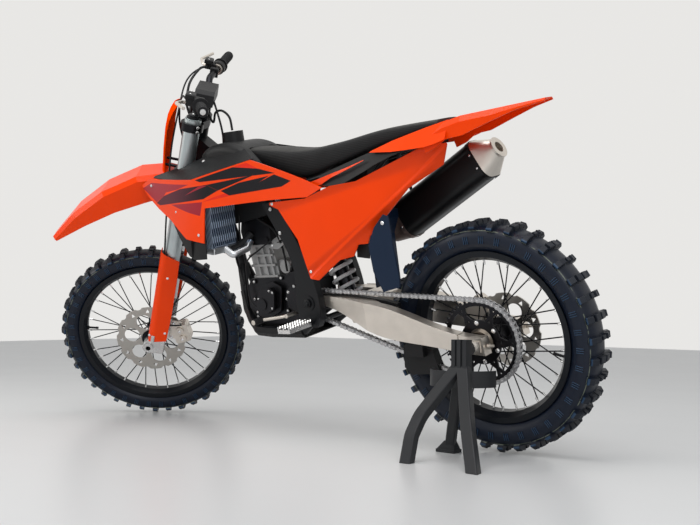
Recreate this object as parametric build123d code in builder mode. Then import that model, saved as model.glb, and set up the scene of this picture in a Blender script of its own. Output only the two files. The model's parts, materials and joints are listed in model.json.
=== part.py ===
"""Motocross bike, leaning on a plug-in paddock stand, with its steering on the left stop.

Every piece is modelled on the upright bike: +X forward from the rear axle, +Y to the
left, +Z up from the ground.  The steered pieces are modelled on the fork: +Z up the
steering axis, +X forward, origin on that axis level with the front axle.  At the end
each piece is set down in the parked pose and written to its own file.  Millimetres.
"""
from build123d import *
from math import asin, atan2, cos, degrees, pi, radians, sin, sqrt, tan
import os

os.makedirs("parts", exist_ok=True)

# ---------------------------------------------------------------- driving dimensions
WHEELBASE = 1485.0
RAKE = 26.1                    # steering axis back from the vertical, degrees
CLAMP_OFFSET = 22.0            # fork legs ahead of the steering axis
AXLE_LEAD = 32.0               # front axle ahead of the fork legs
LEG_SPACING = 210.0            # centre to centre of the fork legs
STEER_STOP = 40.0              # steering angle each way, degrees
LEAN = 13.5                    # parked lean to the left, degrees
GAP = 0.4                      # seating clearance between neighbouring pieces

FRONT_TYRE_R = 347.0
FRONT_TYRE_W = 84.0
FRONT_RIM_R = 266.0            # bead seat
FRONT_RIM_W = 50.0
REAR_TYRE_R = 341.0
REAR_TYRE_W = 112.0
REAR_RIM_R = 241.0
REAR_RIM_W = 64.0
RIM_DEPTH = 17.0               # bead seat down to the spoke bed
RIM_LIP = 12.0                 # flange above the bead seat
SPOKE_R = 2.0
FRONT_LUG = 13.0               # height of the tread blocks
REAR_LUG = 16.0
FRONT_PITCHES = 20             # repeats of the tread round the tyre
REAR_PITCHES = 18
LUG_LONG = 20.0                # length of a block round the tyre
LUG_OVERHANG = 5.0             # blocks stand out past the sidewall
SHOULDER_W = 20.0
SHOULDER_TILT = 38.0

FRONT_DISC_R = 130.0
REAR_DISC_R = 110.0
DISC_T = 4.0
DISC_BORE = 0.28               # bore radius over disc radius
SPROCKET_T = 6.0
SPROCKET_BORE = 40.0
SPIDER_SKEW = 24.0             # slope of the sprocket's crossed arms, degrees
FRONT_HUB_HALF = 83.6
REAR_HUB_HALF = 93.6
FRONT_DISC_Y = 58.0
REAR_DISC_Y = -74.0

CHAIN_PITCH = 15.875
REAR_TEETH = 48
FRONT_TEETH = 13
CHAIN_Y = 75.0
CHAIN_W = 18.0
CHAIN_H = 15.0
LINK_WAIST = 4.0               # how far the side plates draw in between the pins
COUNTERSHAFT = (655.0, 471.0)  # x, z
PIVOT = (590.0, 465.0)         # swingarm pivot x, z
PIVOT_R = 9.0

AXLE_R = 12.5
AXLE_BORE_R = 9.0
REAR_AXLE_HALF = 132.0         # half length of the rear axle
SPAR_OUT = 118.0               # outer face of the frame plates
SPAR_T = 26.0
CRADLE_Z = 364.0               # centre of the lower frame tubes
CRADLE_Y = 84.0
TUBE_R = 15.0
PANEL_T = 4.0                  # wall of the plastic panels
FENDER_T = 3.5                 # wall of the front fender
GUARD_T = 3.0                  # wall of the radiator guards
BEYOND = 60.0                  # how far outside a panel its neighbours are trimmed
PISTON_BOSS = 7.0

rear_axle = (0.0, REAR_TYRE_R)
fork_offset = CLAMP_OFFSET + AXLE_LEAD
fork_forward = (cos(radians(RAKE)), sin(radians(RAKE)))      # x, z of the fork's own +X
fork_up = (-sin(radians(RAKE)), cos(radians(RAKE)))
fork_base = (WHEELBASE - fork_offset * fork_forward[0], FRONT_TYRE_R - fork_offset * fork_forward[1])
FORK = Plane(
    origin=(fork_base[0], 0, fork_base[1]),
    x_dir=(fork_forward[0], 0, fork_forward[1]),
    z_dir=(fork_up[0], 0, fork_up[1]),
)


def on_fork(x, z, y=0.0):
    """Bike-frame point of a point given on the unsteered fork."""
    return (
        fork_base[0] + x * fork_forward[0] + z * fork_up[0],
        y,
        fork_base[1] + x * fork_forward[1] + z * fork_up[1],
    )


# ---------------------------------------------------------------- small makers
def bent_path(points, bend):
    """Straight runs through the points, joined by arcs of the bend radius."""
    corners = [Vector(p) for p in points]
    with BuildLine() as path:
        start = corners[0]
        for before, corner, after in zip(corners, corners[1:], corners[2:]):
            ahead = (corner - before).normalized()
            away = (after - corner).normalized()
            setback = bend * tan(radians(ahead.get_angle(away)) / 2)
            Line(start, corner - ahead * setback)
            TangentArc(corner - ahead * setback, corner + away * setback, tangent=ahead)
            start = corner + away * setback
        Line(start, corners[-1])
    return path.line


def round_bar(points, radius, bend=0.0):
    """Round tube or rod along straight runs joined by arcs."""
    path = bent_path(points, bend)
    with BuildPart() as bar:
        with BuildSketch(Plane(origin=path @ 0, z_dir=path % 0)):
            Circle(radius)
        sweep(path=path)
    return bar.part


def cross_rod(x, z, y0, y1, radius, bore=0.0):
    """Cylinder, or tube when a bore is given, that lies along Y."""
    with BuildPart() as rod:
        with BuildSketch(Plane.XZ.offset(-y0)) as end:
            with Locations((x, z)):
                Circle(radius)
                if bore:
                    Circle(bore, mode=Mode.SUBTRACT)
        extrude(amount=-(y1 - y0))
    return rod.part


def side_plate(points, y0, y1, corner=0.0):
    """Plate between two Y values with a straight-sided outline of (x, z) points."""
    with BuildPart() as plate:
        with BuildSketch(Plane.XZ.offset(-y0)):
            with BuildLine():
                Polyline(*points, close=True)
            make_face()
            if corner:
                fillet(vertices(), radius=corner)
        extrude(amount=-(y1 - y0))
    return plate.part


def strut(points, radius):
    """Straight round tubes from point to point, with a ball at each bend."""
    corners = [Vector(*p) for p in points]
    with BuildPart() as made:
        for start, end in zip(corners, corners[1:]):
            with BuildSketch(Plane(start, z_dir=end - start)):
                Circle(radius)
            extrude(amount=(end - start).length)
        for corner in corners[1:-1]:
            with Locations(Location(corner)):
                Sphere(radius)
    return made.part


def smooth_plate(upper, lower, y0, y1):
    """Plate between two Y values, bounded by two smooth curves through (x, z) points."""
    with BuildPart() as plate:
        with BuildSketch(Plane.XZ.offset(-y0)):
            with BuildLine():
                top = Spline(*upper)
                bottom = Spline(*lower)
                Line(top @ 0, bottom @ 0)
                Line(top @ 1, bottom @ 1)
            make_face()
        extrude(amount=-(y1 - y0))
    return plate.part


def both_sides(part):
    """The piece and its mirror image across the bike's mid-plane."""
    with BuildPart() as pair:
        add(part)
        mirror(part, about=Plane.XZ)
    return pair.part


def curved_sheet(outline, plan, foot, thickness, lean, corner=0.0):
    """Left-hand body panel: a side outline (x, z) on a wall that follows a plan curve
    (x, y) at foot height and leans inward by lean for each unit of height above it."""
    high = max(p[1] for p in outline) + 20
    with BuildPart() as sheet:
        with BuildSketch(Plane.XY.offset(foot)):
            with BuildLine():
                outer = Spline(*plan)
                inner = Spline(*[(x, y - thickness) for x, y in plan])
                Line(outer @ 0, inner @ 0)
                Line(outer @ 1, inner @ 1)
            make_face()
        extrude(amount=high - foot, dir=(0, -lean, 1))
        with BuildSketch(Plane.XZ) as side:
            with BuildLine():
                Polyline(*outline, close=True)
            make_face()
            if corner:
                fillet(vertices(), radius=corner)
        extrude(amount=-400, mode=Mode.INTERSECT)
    return sheet.part


def beyond(outline, plan, foot, thickness, lean):
    """Space that a curved sheet and everything outside it fill, to trim what sits within."""
    outside = [(x, y + BEYOND) for x, y in plan]
    return curved_sheet(outline, outside, foot, BEYOND + thickness, lean)


# ---------------------------------------------------------------- tyres and wheels
def carcass(profile, facets):
    """Ring of flat facets about Y, lofted in two halves from (y, radius) profiles."""
    step = 2 * pi / facets
    with BuildPart() as made:
        for start in (0, facets // 2):
            for i in range(start, start + facets // 2 + 1):
                angle = (i + 0.5) * step
                across = Plane((0, 0, 0), x_dir=(0, 1, 0), z_dir=(-sin(angle), 0, cos(angle)))
                with BuildSketch(across):
                    with BuildLine():
                        Polyline(*[(y, r / cos(step / 2)) for y, r in profile], close=True)
                    make_face()
            loft(ruled=True)
    return made.part


def tyre(outer, width, rim_r, rim_w, lug, pitches):
    """Knobbly tyre of a wheel that turns about Y, solid down to the rim's bed.
    Each pitch of the tread has one wide centre block and two tilted shoulder blocks."""
    bead = rim_w / 2 - 4
    crown = outer - lug
    wall = crown - rim_r
    half = width / 2 - LUG_OVERHANG
    profile = [
        (bead, rim_r + GAP), (bead, rim_r + RIM_LIP + 1), (half, rim_r + 0.55 * wall),
        (half * 0.78, crown - 0.12 * wall), (half * 0.36, crown),
    ]
    profile += [(-y, r) for y, r in reversed(profile)]
    tilt = radians(SHOULDER_TILT)
    deep = 2 * lug
    tip_y = width / 2 - SHOULDER_W / 2 * cos(tilt)
    tip_r = outer - 2 - SHOULDER_W / 2 * sin(tilt)
    blocks = []
    for i in range(pitches):
        turn = i * 360 / pitches
        top = Rot(0, turn, 0) * Pos(outer - deep / 2, 0, 0)
        blocks.append(top * Box(deep, width * 0.4, LUG_LONG))
        for side in (1, -1):
            place = Pos(tip_r - deep / 2 * cos(tilt), side * (tip_y - deep / 2 * sin(tilt)), 0)
            edge = Rot(0, turn + 180 / pitches, 0) * place * Rot(0, 0, side * SHOULDER_TILT)
            blocks.append(edge * Box(deep, SHOULDER_W, LUG_LONG))
    with BuildPart() as made:
        add(carcass(profile, 2 * pitches))
        add(blocks)
    return made.part


def rim(rim_r, rim_w):
    """Drop-centre rim with a flange each side and a sunken spoke bed."""
    half = rim_w / 2
    bed = rim_r - RIM_DEPTH
    with BuildPart() as made:
        with BuildSketch(Plane.YZ):
            with BuildLine():
                Polyline(
                    (-half, rim_r + RIM_LIP),
                    (-half - 3, rim_r + RIM_LIP),
                    (-half - 3, rim_r - 5),
                    (-half * 0.45, bed),
                    (half * 0.45, bed),
                    (half + 3, rim_r - 5),
                    (half + 3, rim_r + RIM_LIP),
                    (half, rim_r + RIM_LIP),
                    (half, rim_r),
                    (half * 0.55, rim_r),
                    (half * 0.45, bed + 4),
                    (-half * 0.45, bed + 4),
                    (-half * 0.55, rim_r),
                    (-half, rim_r),
                    close=True,
                )
            make_face()
        revolve(axis=Axis.Y)
    return made.part


def hub(profile, flange, flange_y, bed, count):
    """Hub turned from a (y, radius) profile, with its laced spokes up to the rim's bed."""
    with BuildPart() as made:
        with BuildSketch(Plane.YZ):
            with BuildLine():
                Polyline(*profile, close=True)
            make_face()
        revolve(axis=Axis.Y)
        add(spokes(flange - 4, flange_y, bed + 2, count))
        with BuildSketch(Plane.XZ.offset(-20)):
            Circle(bed + 12)
            Circle(bed - GAP, mode=Mode.SUBTRACT)
        extrude(amount=40, mode=Mode.SUBTRACT)
    return made.part


def spokes(flange, flange_y, reach, count):
    """Half of the spokes lean forward and half back, in pairs that start on each flange."""
    step = 360 / count
    made = []
    for i in range(count):
        side = 1 if i % 2 else -1
        swing = 52 if (i // 2) % 2 else -52
        rim_angle = radians(i * step)
        hub_angle = radians(i * step + swing)
        shift = 4 if (i // 2) % 2 else 0
        start = Vector(flange * cos(hub_angle), side * (flange_y + shift - 2), flange * sin(hub_angle))
        end = Vector(reach * cos(rim_angle), side * 5, reach * sin(rim_angle))
        with BuildPart() as spoke:
            with BuildSketch(Plane(start, z_dir=end - start)):
                RegularPolygon(SPOKE_R, 6)
            extrude(amount=(end - start).length)
        made.append(spoke.part)
    return made


def disc(radius, y, holes):
    """Brake disc with a scalloped edge and a ring of lightening windows."""
    with BuildPart() as made:
        with BuildSketch(Plane.XZ.offset(-y - DISC_T / 2)):
            Circle(radius)
            Circle(radius * DISC_BORE, mode=Mode.SUBTRACT)
            with PolarLocations(radius * 1.09, holes):
                Circle(radius * 0.14, mode=Mode.SUBTRACT)
            with PolarLocations(radius * 0.56, 6):
                Circle(radius * 0.22, mode=Mode.SUBTRACT)
            with PolarLocations(radius * 0.86, holes, start_angle=180 / holes):
                RegularPolygon(radius * 0.08, 3, mode=Mode.SUBTRACT)
        extrude(amount=DISC_T)
    return made.part


front_tyre = tyre(FRONT_TYRE_R, FRONT_TYRE_W, FRONT_RIM_R, FRONT_RIM_W, FRONT_LUG, FRONT_PITCHES)
front_rim = rim(FRONT_RIM_R, FRONT_RIM_W)
rear_tyre = tyre(REAR_TYRE_R, REAR_TYRE_W, REAR_RIM_R, REAR_RIM_W, REAR_LUG, REAR_PITCHES)
rear_rim = rim(REAR_RIM_R, REAR_RIM_W)
front_disc = disc(FRONT_DISC_R, FRONT_DISC_Y, 12)
rear_disc = disc(REAR_DISC_R, REAR_DISC_Y, 10)

hub_bore = AXLE_R + GAP
front_seat = FRONT_DISC_R * DISC_BORE - GAP
front_face = FRONT_DISC_Y - DISC_T / 2 - GAP
front_hub = hub(
    [
        (-FRONT_HUB_HALF, hub_bore), (-FRONT_HUB_HALF, 19), (-38, 21), (-33, 34), (-27, 34), (-23, 22),
        (23, 22), (27, 34), (33, 34), (36, 26), (47, 30), (49, 48), (front_face, 48),
        (front_face, front_seat), (front_face + 6, front_seat), (front_face + 6, 21),
        (FRONT_HUB_HALF, 19), (FRONT_HUB_HALF, hub_bore),
    ],
    34, 30, FRONT_RIM_R - RIM_DEPTH, 36,
)
rear_seat = REAR_DISC_R * DISC_BORE - GAP
rear_face = REAR_DISC_Y + DISC_T / 2 + GAP
sprocket_face = CHAIN_Y - SPROCKET_T / 2 - GAP
rear_hub = hub(
    [
        (-REAR_HUB_HALF, hub_bore), (-REAR_HUB_HALF, 20), (rear_face - 7, 22), (rear_face - 7, rear_seat),
        (rear_face, rear_seat), (rear_face, 46), (-65, 46), (-60, 28), (-42, 28), (-39, 46), (-33, 46),
        (-29, 30), (29, 30), (33, 46), (39, 46), (42, 31), (60, 34), (65, 54), (sprocket_face, 54),
        (sprocket_face, SPROCKET_BORE - GAP), (sprocket_face + 7, SPROCKET_BORE - GAP),
        (sprocket_face + 7, 23), (REAR_HUB_HALF, 21), (REAR_HUB_HALF, hub_bore),
    ],
    46, 36, REAR_RIM_R - RIM_DEPTH, 36,
)

# ---------------------------------------------------------------- chain drive
rear_pitch_r = CHAIN_PITCH / 2 / sin(pi / REAR_TEETH)
front_pitch_r = CHAIN_PITCH / 2 / sin(pi / FRONT_TEETH)


def sprocket(pitch_r, teeth, thickness, y, bore):
    """Toothed plate whose roots seat the chain's rollers."""
    with BuildPart() as made:
        with BuildSketch(Plane.XZ.offset(-y - thickness / 2)):
            Circle(pitch_r + 3.5)
            with PolarLocations(pitch_r, teeth):
                Circle(5.6, mode=Mode.SUBTRACT)
            if teeth > 20:
                Circle(pitch_r * 0.86, mode=Mode.SUBTRACT)
                Circle(pitch_r * 0.53)
                for lean_in in (-SPIDER_SKEW, SPIDER_SKEW):
                    with PolarLocations(pitch_r * 0.7, 6):
                        with Locations(Rot(0, 0, lean_in)):
                            Rectangle(pitch_r * 0.4, 9)
            Circle(bore, mode=Mode.SUBTRACT)
        extrude(amount=thickness)
    return made.part


rear_sprocket = sprocket(rear_pitch_r, REAR_TEETH, SPROCKET_T, CHAIN_Y, SPROCKET_BORE)
drive_sprocket = sprocket(front_pitch_r, FRONT_TEETH, SPROCKET_T, CHAIN_Y, 12).moved(
    Location((COUNTERSHAFT[0], 0, COUNTERSHAFT[1]))
)

drive_span = Vector(COUNTERSHAFT[0] - rear_axle[0], COUNTERSHAFT[1] - rear_axle[1])
drive_tilt = atan2(drive_span.Y, drive_span.X)
drive_wrap = asin((rear_pitch_r - front_pitch_r) / drive_span.length)
straight_run = drive_span.length * cos(drive_wrap)
rear_wrap = rear_pitch_r * (pi + 2 * drive_wrap)
front_wrap = front_pitch_r * (pi - 2 * drive_wrap)
chain_length = 2 * straight_run + rear_wrap + front_wrap
LINKS = 2 * round(chain_length / CHAIN_PITCH / 2)


def beside_chain(travel, offset):
    """Point (x, z) at a travel along the chain, offset outward from the rollers' line."""
    up = drive_tilt + pi / 2 - drive_wrap
    down = drive_tilt - pi / 2 + drive_wrap
    rear = Vector(*rear_axle)
    front = Vector(*COUNTERSHAFT)
    forward = Vector(sin(up), -cos(up))
    backward = Vector(sin(down), -cos(down))
    if travel < straight_run:
        foot = rear + Vector(cos(up), sin(up)) * (rear_pitch_r + offset)
        spot = foot + forward * travel
    elif travel < straight_run + front_wrap:
        angle = up - (travel - straight_run) / front_pitch_r
        spot = front + Vector(cos(angle), sin(angle)) * (front_pitch_r + offset)
    elif travel < 2 * straight_run + front_wrap:
        foot = front + Vector(cos(down), sin(down)) * (front_pitch_r + offset)
        spot = foot + backward * (travel - straight_run - front_wrap)
    else:
        angle = down - (travel - 2 * straight_run - front_wrap) / rear_pitch_r
        spot = rear + Vector(cos(angle), sin(angle)) * (rear_pitch_r + offset)
    return (spot.X, spot.Y)


def chain_line(steps, offset, waist=0.0):
    """Points round the whole chain, each second one drawn in by the waist."""
    step = chain_length / steps
    return [beside_chain(step * i, offset - waist * (i % 2)) for i in range(steps)]


def chain_loop(height, width, waist=0.0):
    """Closed band round both sprockets, drawn in by the waist between its links."""
    with BuildPart() as made:
        with BuildSketch(Plane.XZ.offset(-CHAIN_Y + width / 2)):
            with BuildLine():
                Polyline(*chain_line(2 * LINKS if waist else LINKS, height / 2, waist), close=True)
            make_face()
            with BuildLine():
                Polyline(*chain_line(LINKS // 2, -height / 2), close=True)
            make_face(mode=Mode.SUBTRACT)
        extrude(amount=-width)
    return made.part


with BuildPart() as chain:
    add(chain_loop(CHAIN_H, CHAIN_W, LINK_WAIST))
    for centre, radius in ((rear_axle, rear_pitch_r + 5), (COUNTERSHAFT, front_pitch_r + 5)):
        add(cross_rod(centre[0], centre[1], CHAIN_Y - 4.5, CHAIN_Y + 4.5, radius), mode=Mode.SUBTRACT)

# ---------------------------------------------------------------- frame
LOWER_CLAMP = (664.0, 700.0)   # along the steering axis
UPPER_CLAMP = (846.0, 874.0)
HEAD_GAP = 5.5
HEAD_R = 27.0
DOWN_TUBE_R = 17.0
STEM_R = 15.0
SPINE_HALF = 26.0
head_low = LOWER_CLAMP[1] + HEAD_GAP
head_high = UPPER_CLAMP[0] - HEAD_GAP
spar_in = SPAR_OUT - SPAR_T
SPINE = [
    on_fork(-10, head_high - 40)[::2], on_fork(-10, head_low + 20)[::2], (900, 866), (740, 798), (640, 738),
    (592, 752), (580, 790), (610, 812), (740, 868), (960, 950),
]
SPAR_TOP = 792.0
SPAR_FRONT = [(726, SPAR_TOP), (705, 748), (640, 614), (631, 567), (636, 500), (640, 440), (626, 386)]
SPAR_REAR = [(655, SPAR_TOP), (636, 740), (578, 610), (556, 539), (545, 462), (549, 420), (566, 386)]


def spine(margin):
    """Central plate of the frame, grown by a margin."""
    with BuildPart() as made:
        with BuildSketch(Plane.XZ.offset(-SPINE_HALF - margin)):
            with BuildLine():
                Polyline(*SPINE, close=True)
            make_face()
            if margin:
                offset(amount=margin)
        extrude(amount=2 * (SPINE_HALF + margin))
    return made.part


with BuildPart() as head_tube:
    with BuildSketch(Plane(FORK.location * Location((0, 0, head_low)))):
        Circle(HEAD_R)
    extrude(amount=head_high - head_low)
with BuildPart() as stem_bore:
    with BuildSketch(Plane(FORK.location * Location((0, 0, head_low - 10)))):
        Circle(STEM_R + GAP)
    extrude(amount=head_high - head_low + 20)

down_tube = round_bar([on_fork(-10, head_low + 78), (985, 0, 660), (966, 0, 540)], DOWN_TUBE_R, 100)
cradle = round_bar(
    [
        (972, 8, 580), (938, 46, 430), (862, CRADLE_Y, CRADLE_Z), (660, CRADLE_Y, CRADLE_Z),
        (604, spar_in + 8, 402),
    ],
    TUBE_R,
    24,
)
with BuildPart() as frame:
    add(head_tube.part)
    add(spine(0))
    add(down_tube)
    add(both_sides(cradle))
    add(both_sides(smooth_plate(SPAR_FRONT, SPAR_REAR, spar_in, SPAR_OUT)))
    add(both_sides(cross_rod(PIVOT[0], PIVOT[1], spar_in, SPAR_OUT + 3, 24)))
    add(cross_rod(690, 772, -spar_in - 1, spar_in + 1, 14))
    add(cross_rod(600, 398, -spar_in - 1, spar_in + 1, 9))
    add(cross_rod(PIVOT[0], PIVOT[1], -SPAR_OUT - 6, SPAR_OUT + 6, PIVOT_R))
    add(stem_bore.part, mode=Mode.SUBTRACT)

# ---------------------------------------------------------------- engine
ENGINE_Y = 66.0
CASE_LINE = [
    (628, 418), (690, 384), (846, 384), (905, 440), (905, 500), (880, 540), (745, 540), (680, 560),
    (628, 520),
]
IGNITION_COVER = [(866, 416), (850, 480), (820, 518), (768, 530), (730, 512), (748, 432), (800, 408)]
IGNITION_CAP = [(846, 428), (834, 478), (810, 504), (772, 512), (750, 500), (762, 440), (800, 424)]
CHAIN_COVER = [(706, 500), (706, 446), (664, 426), (643, 440), (643, 500), (668, 524)]
CASE_BOLTS = [(737, 540), (724, 470), (728, 430), (862, 530), (872, 470), (868, 410), (808, 404)]
with BuildPart() as engine_case:
    add(side_plate(CASE_LINE, -ENGINE_Y, ENGINE_Y, 8))
    add(cross_rod(COUNTERSHAFT[0], COUNTERSHAFT[1], ENGINE_Y, CHAIN_Y + 12, 11.6))
    add(side_plate(IGNITION_COVER, ENGINE_Y - 1, ENGINE_Y + 16, 10))
    add(side_plate(IGNITION_CAP, ENGINE_Y - 1, ENGINE_Y + 34, 10))
    add(cross_rod(812, 458, ENGINE_Y, ENGINE_Y + 38, 20))
    add(side_plate(CHAIN_COVER, CHAIN_Y + 11, CHAIN_Y + 15, 8))
    add(cross_rod(COUNTERSHAFT[0], COUNTERSHAFT[1], CHAIN_Y + 11, CHAIN_Y + 24, 15))
    add(cross_rod(704, 482, ENGINE_Y - 1, CHAIN_Y + 12, 6))
    for x, z in CASE_BOLTS:
        add(cross_rod(x, z, ENGINE_Y - 1, ENGINE_Y + 6, 8))
    add(cross_rod(735, 462, -ENGINE_Y - 20, -ENGINE_Y + 1, 80))
    add(cross_rod(722, 468, -ENGINE_Y - 42, -ENGINE_Y + 1, 62))
    add(cross_rod(838, 440, -ENGINE_Y - 30, -ENGINE_Y + 1, 34))
    add(cross_rod(838, 440, -ENGINE_Y - 44, -ENGINE_Y + 1, 18))

HEAD_STAY = [
    (654, 700), (668, 708), (704, 690), (756, 665), (762, 651), (782, 651), (782, 640), (734, 634), (660, 680),
]
head_stay = side_plate(HEAD_STAY, 56, 64, 4) - side_plate([(692, 680), (738, 656), (714, 654)], 40, 80)

BARREL_LOW = 540 + GAP
BARREL_HIGH = 652.0
barrel_lean = (884 - 868) / (BARREL_HIGH - BARREL_LOW)


def barrel_band(z0, z1, half):
    """Level band round the leaning barrel."""
    low_back, low_front = [x + barrel_lean * (z0 - BARREL_LOW) for x in (758, 868)]
    high_back, high_front = [x + barrel_lean * (z1 - BARREL_LOW) for x in (758, 868)]
    return side_plate([(low_back, z0), (low_front, z0), (high_front, z1), (high_back, z1)], -half, half)


def barrel_rib(x):
    """Rib that leans across the barrel from a place along its foot."""
    line = [(x, BARREL_LOW), (x + 9, BARREL_LOW), (x + 21, BARREL_HIGH), (x + 12, BARREL_HIGH)]
    return side_plate(line, -58, 58)


with BuildPart() as cylinder:
    add(barrel_band(BARREL_LOW, BARREL_HIGH, 50))
    for z in (BARREL_LOW, 578, 612, BARREL_HIGH - 8):
        add(barrel_band(z, z + 8, 60))
    for x in (772, 800, 834):
        add(barrel_rib(x))
    add(cross_rod(728, 574, -18, 52, 23))
    add(side_plate([(730, 562), (764, 562), (764, 596), (730, 596)], -10, 40, 4))
    add(both_sides(head_stay))
    add(both_sides(cross_rod(664, 694, 56, spar_in, 8)))

HEAD_LINE = [
    (766, BARREL_HIGH + GAP), (888, BARREL_HIGH + GAP), (896, 700), (884, 742), (784, 742), (762, 706),
]
with BuildPart() as head_cover:
    add(side_plate(HEAD_LINE, -62, 62, 6))
    add(side_plate([(782, 736), (878, 736), (866, 760), (796, 760)], -52, 52, 6))
    for x, z in ((782, 668), (878, 668), (786, 730), (872, 730)):
        add(cross_rod(x, z, -66, 66, 8))
    add(round_bar([(775, 0, 706), (690, 0, 720)], 27))
    add(cross_rod(700, 719, -40, 40, 15))

# ---------------------------------------------------------------- silencer
SILENCER_TILT = 28.0
SILENCER_LEN = 410.0
silencer_front = Vector(392, -118, 651)
SILENCER = Plane(
    origin=silencer_front,
    x_dir=(0, 1, 0),
    z_dir=(-cos(radians(SILENCER_TILT)), 0, sin(radians(SILENCER_TILT))),
)
HEADER_R = 19.0
HEADER = [
    (880, -40, 690), (930, -40, 690), (952, -72, 658), (946, -104, 596), (884, -128, 572),
    (780, -142, 590), (640, -146, 600), (520, -140, 602),
    silencer_front - SILENCER.z_dir * 56, silencer_front - SILENCER.z_dir * GAP,
]
with BuildPart() as exhaust_header:
    add(round_bar(HEADER, HEADER_R, 24))
    add(head_cover.part, mode=Mode.SUBTRACT)

with BuildPart() as silencer:
    with BuildSketch(SILENCER):
        RectangleRounded(70, 84, 24)
    with BuildSketch(SILENCER.offset(60)):
        RectangleRounded(100, 124, 34)
    loft()
    with BuildSketch(SILENCER.offset(60)):
        RectangleRounded(100, 124, 34)
    extrude(amount=SILENCER_LEN - 60)
    for along in (60, SILENCER_LEN - 16):
        with BuildSketch(SILENCER.offset(along)):
            RectangleRounded(104, 128, 36)
        extrude(amount=14)
with BuildPart() as silencer_cap:
    with BuildSketch(SILENCER.offset(SILENCER_LEN + GAP)):
        RectangleRounded(100, 124, 34)
    with BuildSketch(SILENCER.offset(SILENCER_LEN + 60)):
        Circle(27)
    loft()
    with BuildSketch(SILENCER.offset(SILENCER_LEN + 54)):
        Circle(33)
    extrude(amount=6)
    with BuildSketch(SILENCER.offset(SILENCER_LEN + 60)):
        Circle(17)
    extrude(amount=-50, mode=Mode.SUBTRACT)

# ---------------------------------------------------------------- seat, tank, bodywork
def hull(sections):
    """Loft through (x, half width, low z, high z, corner) sections."""
    with BuildPart() as made:
        for x, half, low, high, corner in sections:
            centre = (x, 0, (low + high) / 2)
            with BuildSketch(Plane(origin=centre, x_dir=(0, 1, 0), z_dir=(-1, 0, 0))):
                RectangleRounded(2 * half, high - low, corner)
        loft()
    return made.part


def trough(stations, thickness, opens=-1):
    """Loft of U-shaped sections along a path of (x, z, half width, wall height) stations;
    the walls point down, or up when opens is 1."""
    with BuildPart() as made:
        for i, (x, z, half, drop) in enumerate(stations):
            before = stations[max(i - 1, 0)]
            after = stations[min(i + 1, len(stations) - 1)]
            along = (after[0] - before[0], 0, after[1] - before[1])
            edge = min(16, drop * 0.6)
            t = thickness
            with BuildSketch(Plane(origin=(x, 0, z), x_dir=(0, 1, 0), z_dir=along)):
                with BuildLine():
                    points = [
                        (-half, -drop), (-half, -edge), (edge - half, 0),
                        (half - edge, 0), (half, -edge), (half, -drop),
                        (half - t, -drop), (half - t, -edge), (half - edge, -t),
                        (edge - half, -t), (t - half, -edge), (t - half, -drop),
                    ]
                    Polyline(*[(u, -opens * v) for u, v in points], close=True)
                make_face()
        loft(ruled=True)
    return made.part


seat_body = hull([
    (884, 40, 962, 984, 8), (790, 66, 930, 972, 12), (700, 74, 894, 960, 16), (570, 80, 856, 944, 18),
    (420, 82, 886, 952, 16), (250, 78, 926, 971, 14), (60, 62, 958, 976, 6),
])
with BuildPart() as seat:
    add(seat_body)

tank_body = hull([
    (1030, 60, 918, 966, 16), (960, 96, 872, 996, 26), (880, 100, 840, 1000, 28), (780, 92, 806, 960, 26),
    (720, 66, 806, 900, 20),
])
CAP = (923.0, 36.0)
with BuildPart() as fuel_tank:
    add(tank_body)
    with Locations(Location((CAP[0], 0, 980))):
        Cylinder(CAP[1], 56, align=(Align.CENTER, Align.CENTER, Align.MIN))
    add(seat_body, mode=Mode.SUBTRACT)
    add(spine(GAP), mode=Mode.SUBTRACT)

with BuildPart() as rear_fender:
    add(trough([
        (-256, 990, 24, 8), (-228, 988, 42, 10), (-180, 985, 58, 16), (-110, 981, 70, 32),
        (-20, 976, 80, 54), (40, 964, 83, 48), (80, 948, 84, 54), (112, 938, 84, 54),
    ], PANEL_T))
    add(seat_body, mode=Mode.SUBTRACT)

PANEL_OUTLINE = [
    (694, 795), (520, 797), (430, 826), (340, 831), (125, 905), (40, 908), (58, 848), (175, 793),
    (236, 735), (308, 666), (316, 645), (348, 645), (366, 611), (414, 603), (494, 546), (524, 552),
    (562, 674), (633, 771),
]
PANEL_FOOT = 528.0
PANEL_LEAN = 0.1
PANEL_PLAN = [(710, 160), (560, 168), (400, 150), (240, 118), (20, 92)]
panel_left = curved_sheet(PANEL_OUTLINE, PANEL_PLAN, PANEL_FOOT, PANEL_T, PANEL_LEAN, 5)
panel_beyond = both_sides(beyond(PANEL_OUTLINE, PANEL_PLAN, PANEL_FOOT, PANEL_T, PANEL_LEAN))
PANEL_RIGHT = [
    (690, 792), (520, 796), (430, 826), (352, 834), (402, 762), (470, 712), (600, 704), (632, 772),
]
with BuildPart() as side_panels:
    add(panel_left)
    add(mirror(curved_sheet(PANEL_RIGHT, PANEL_PLAN, PANEL_FOOT, PANEL_T, PANEL_LEAN, 5), about=Plane.XZ))

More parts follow.
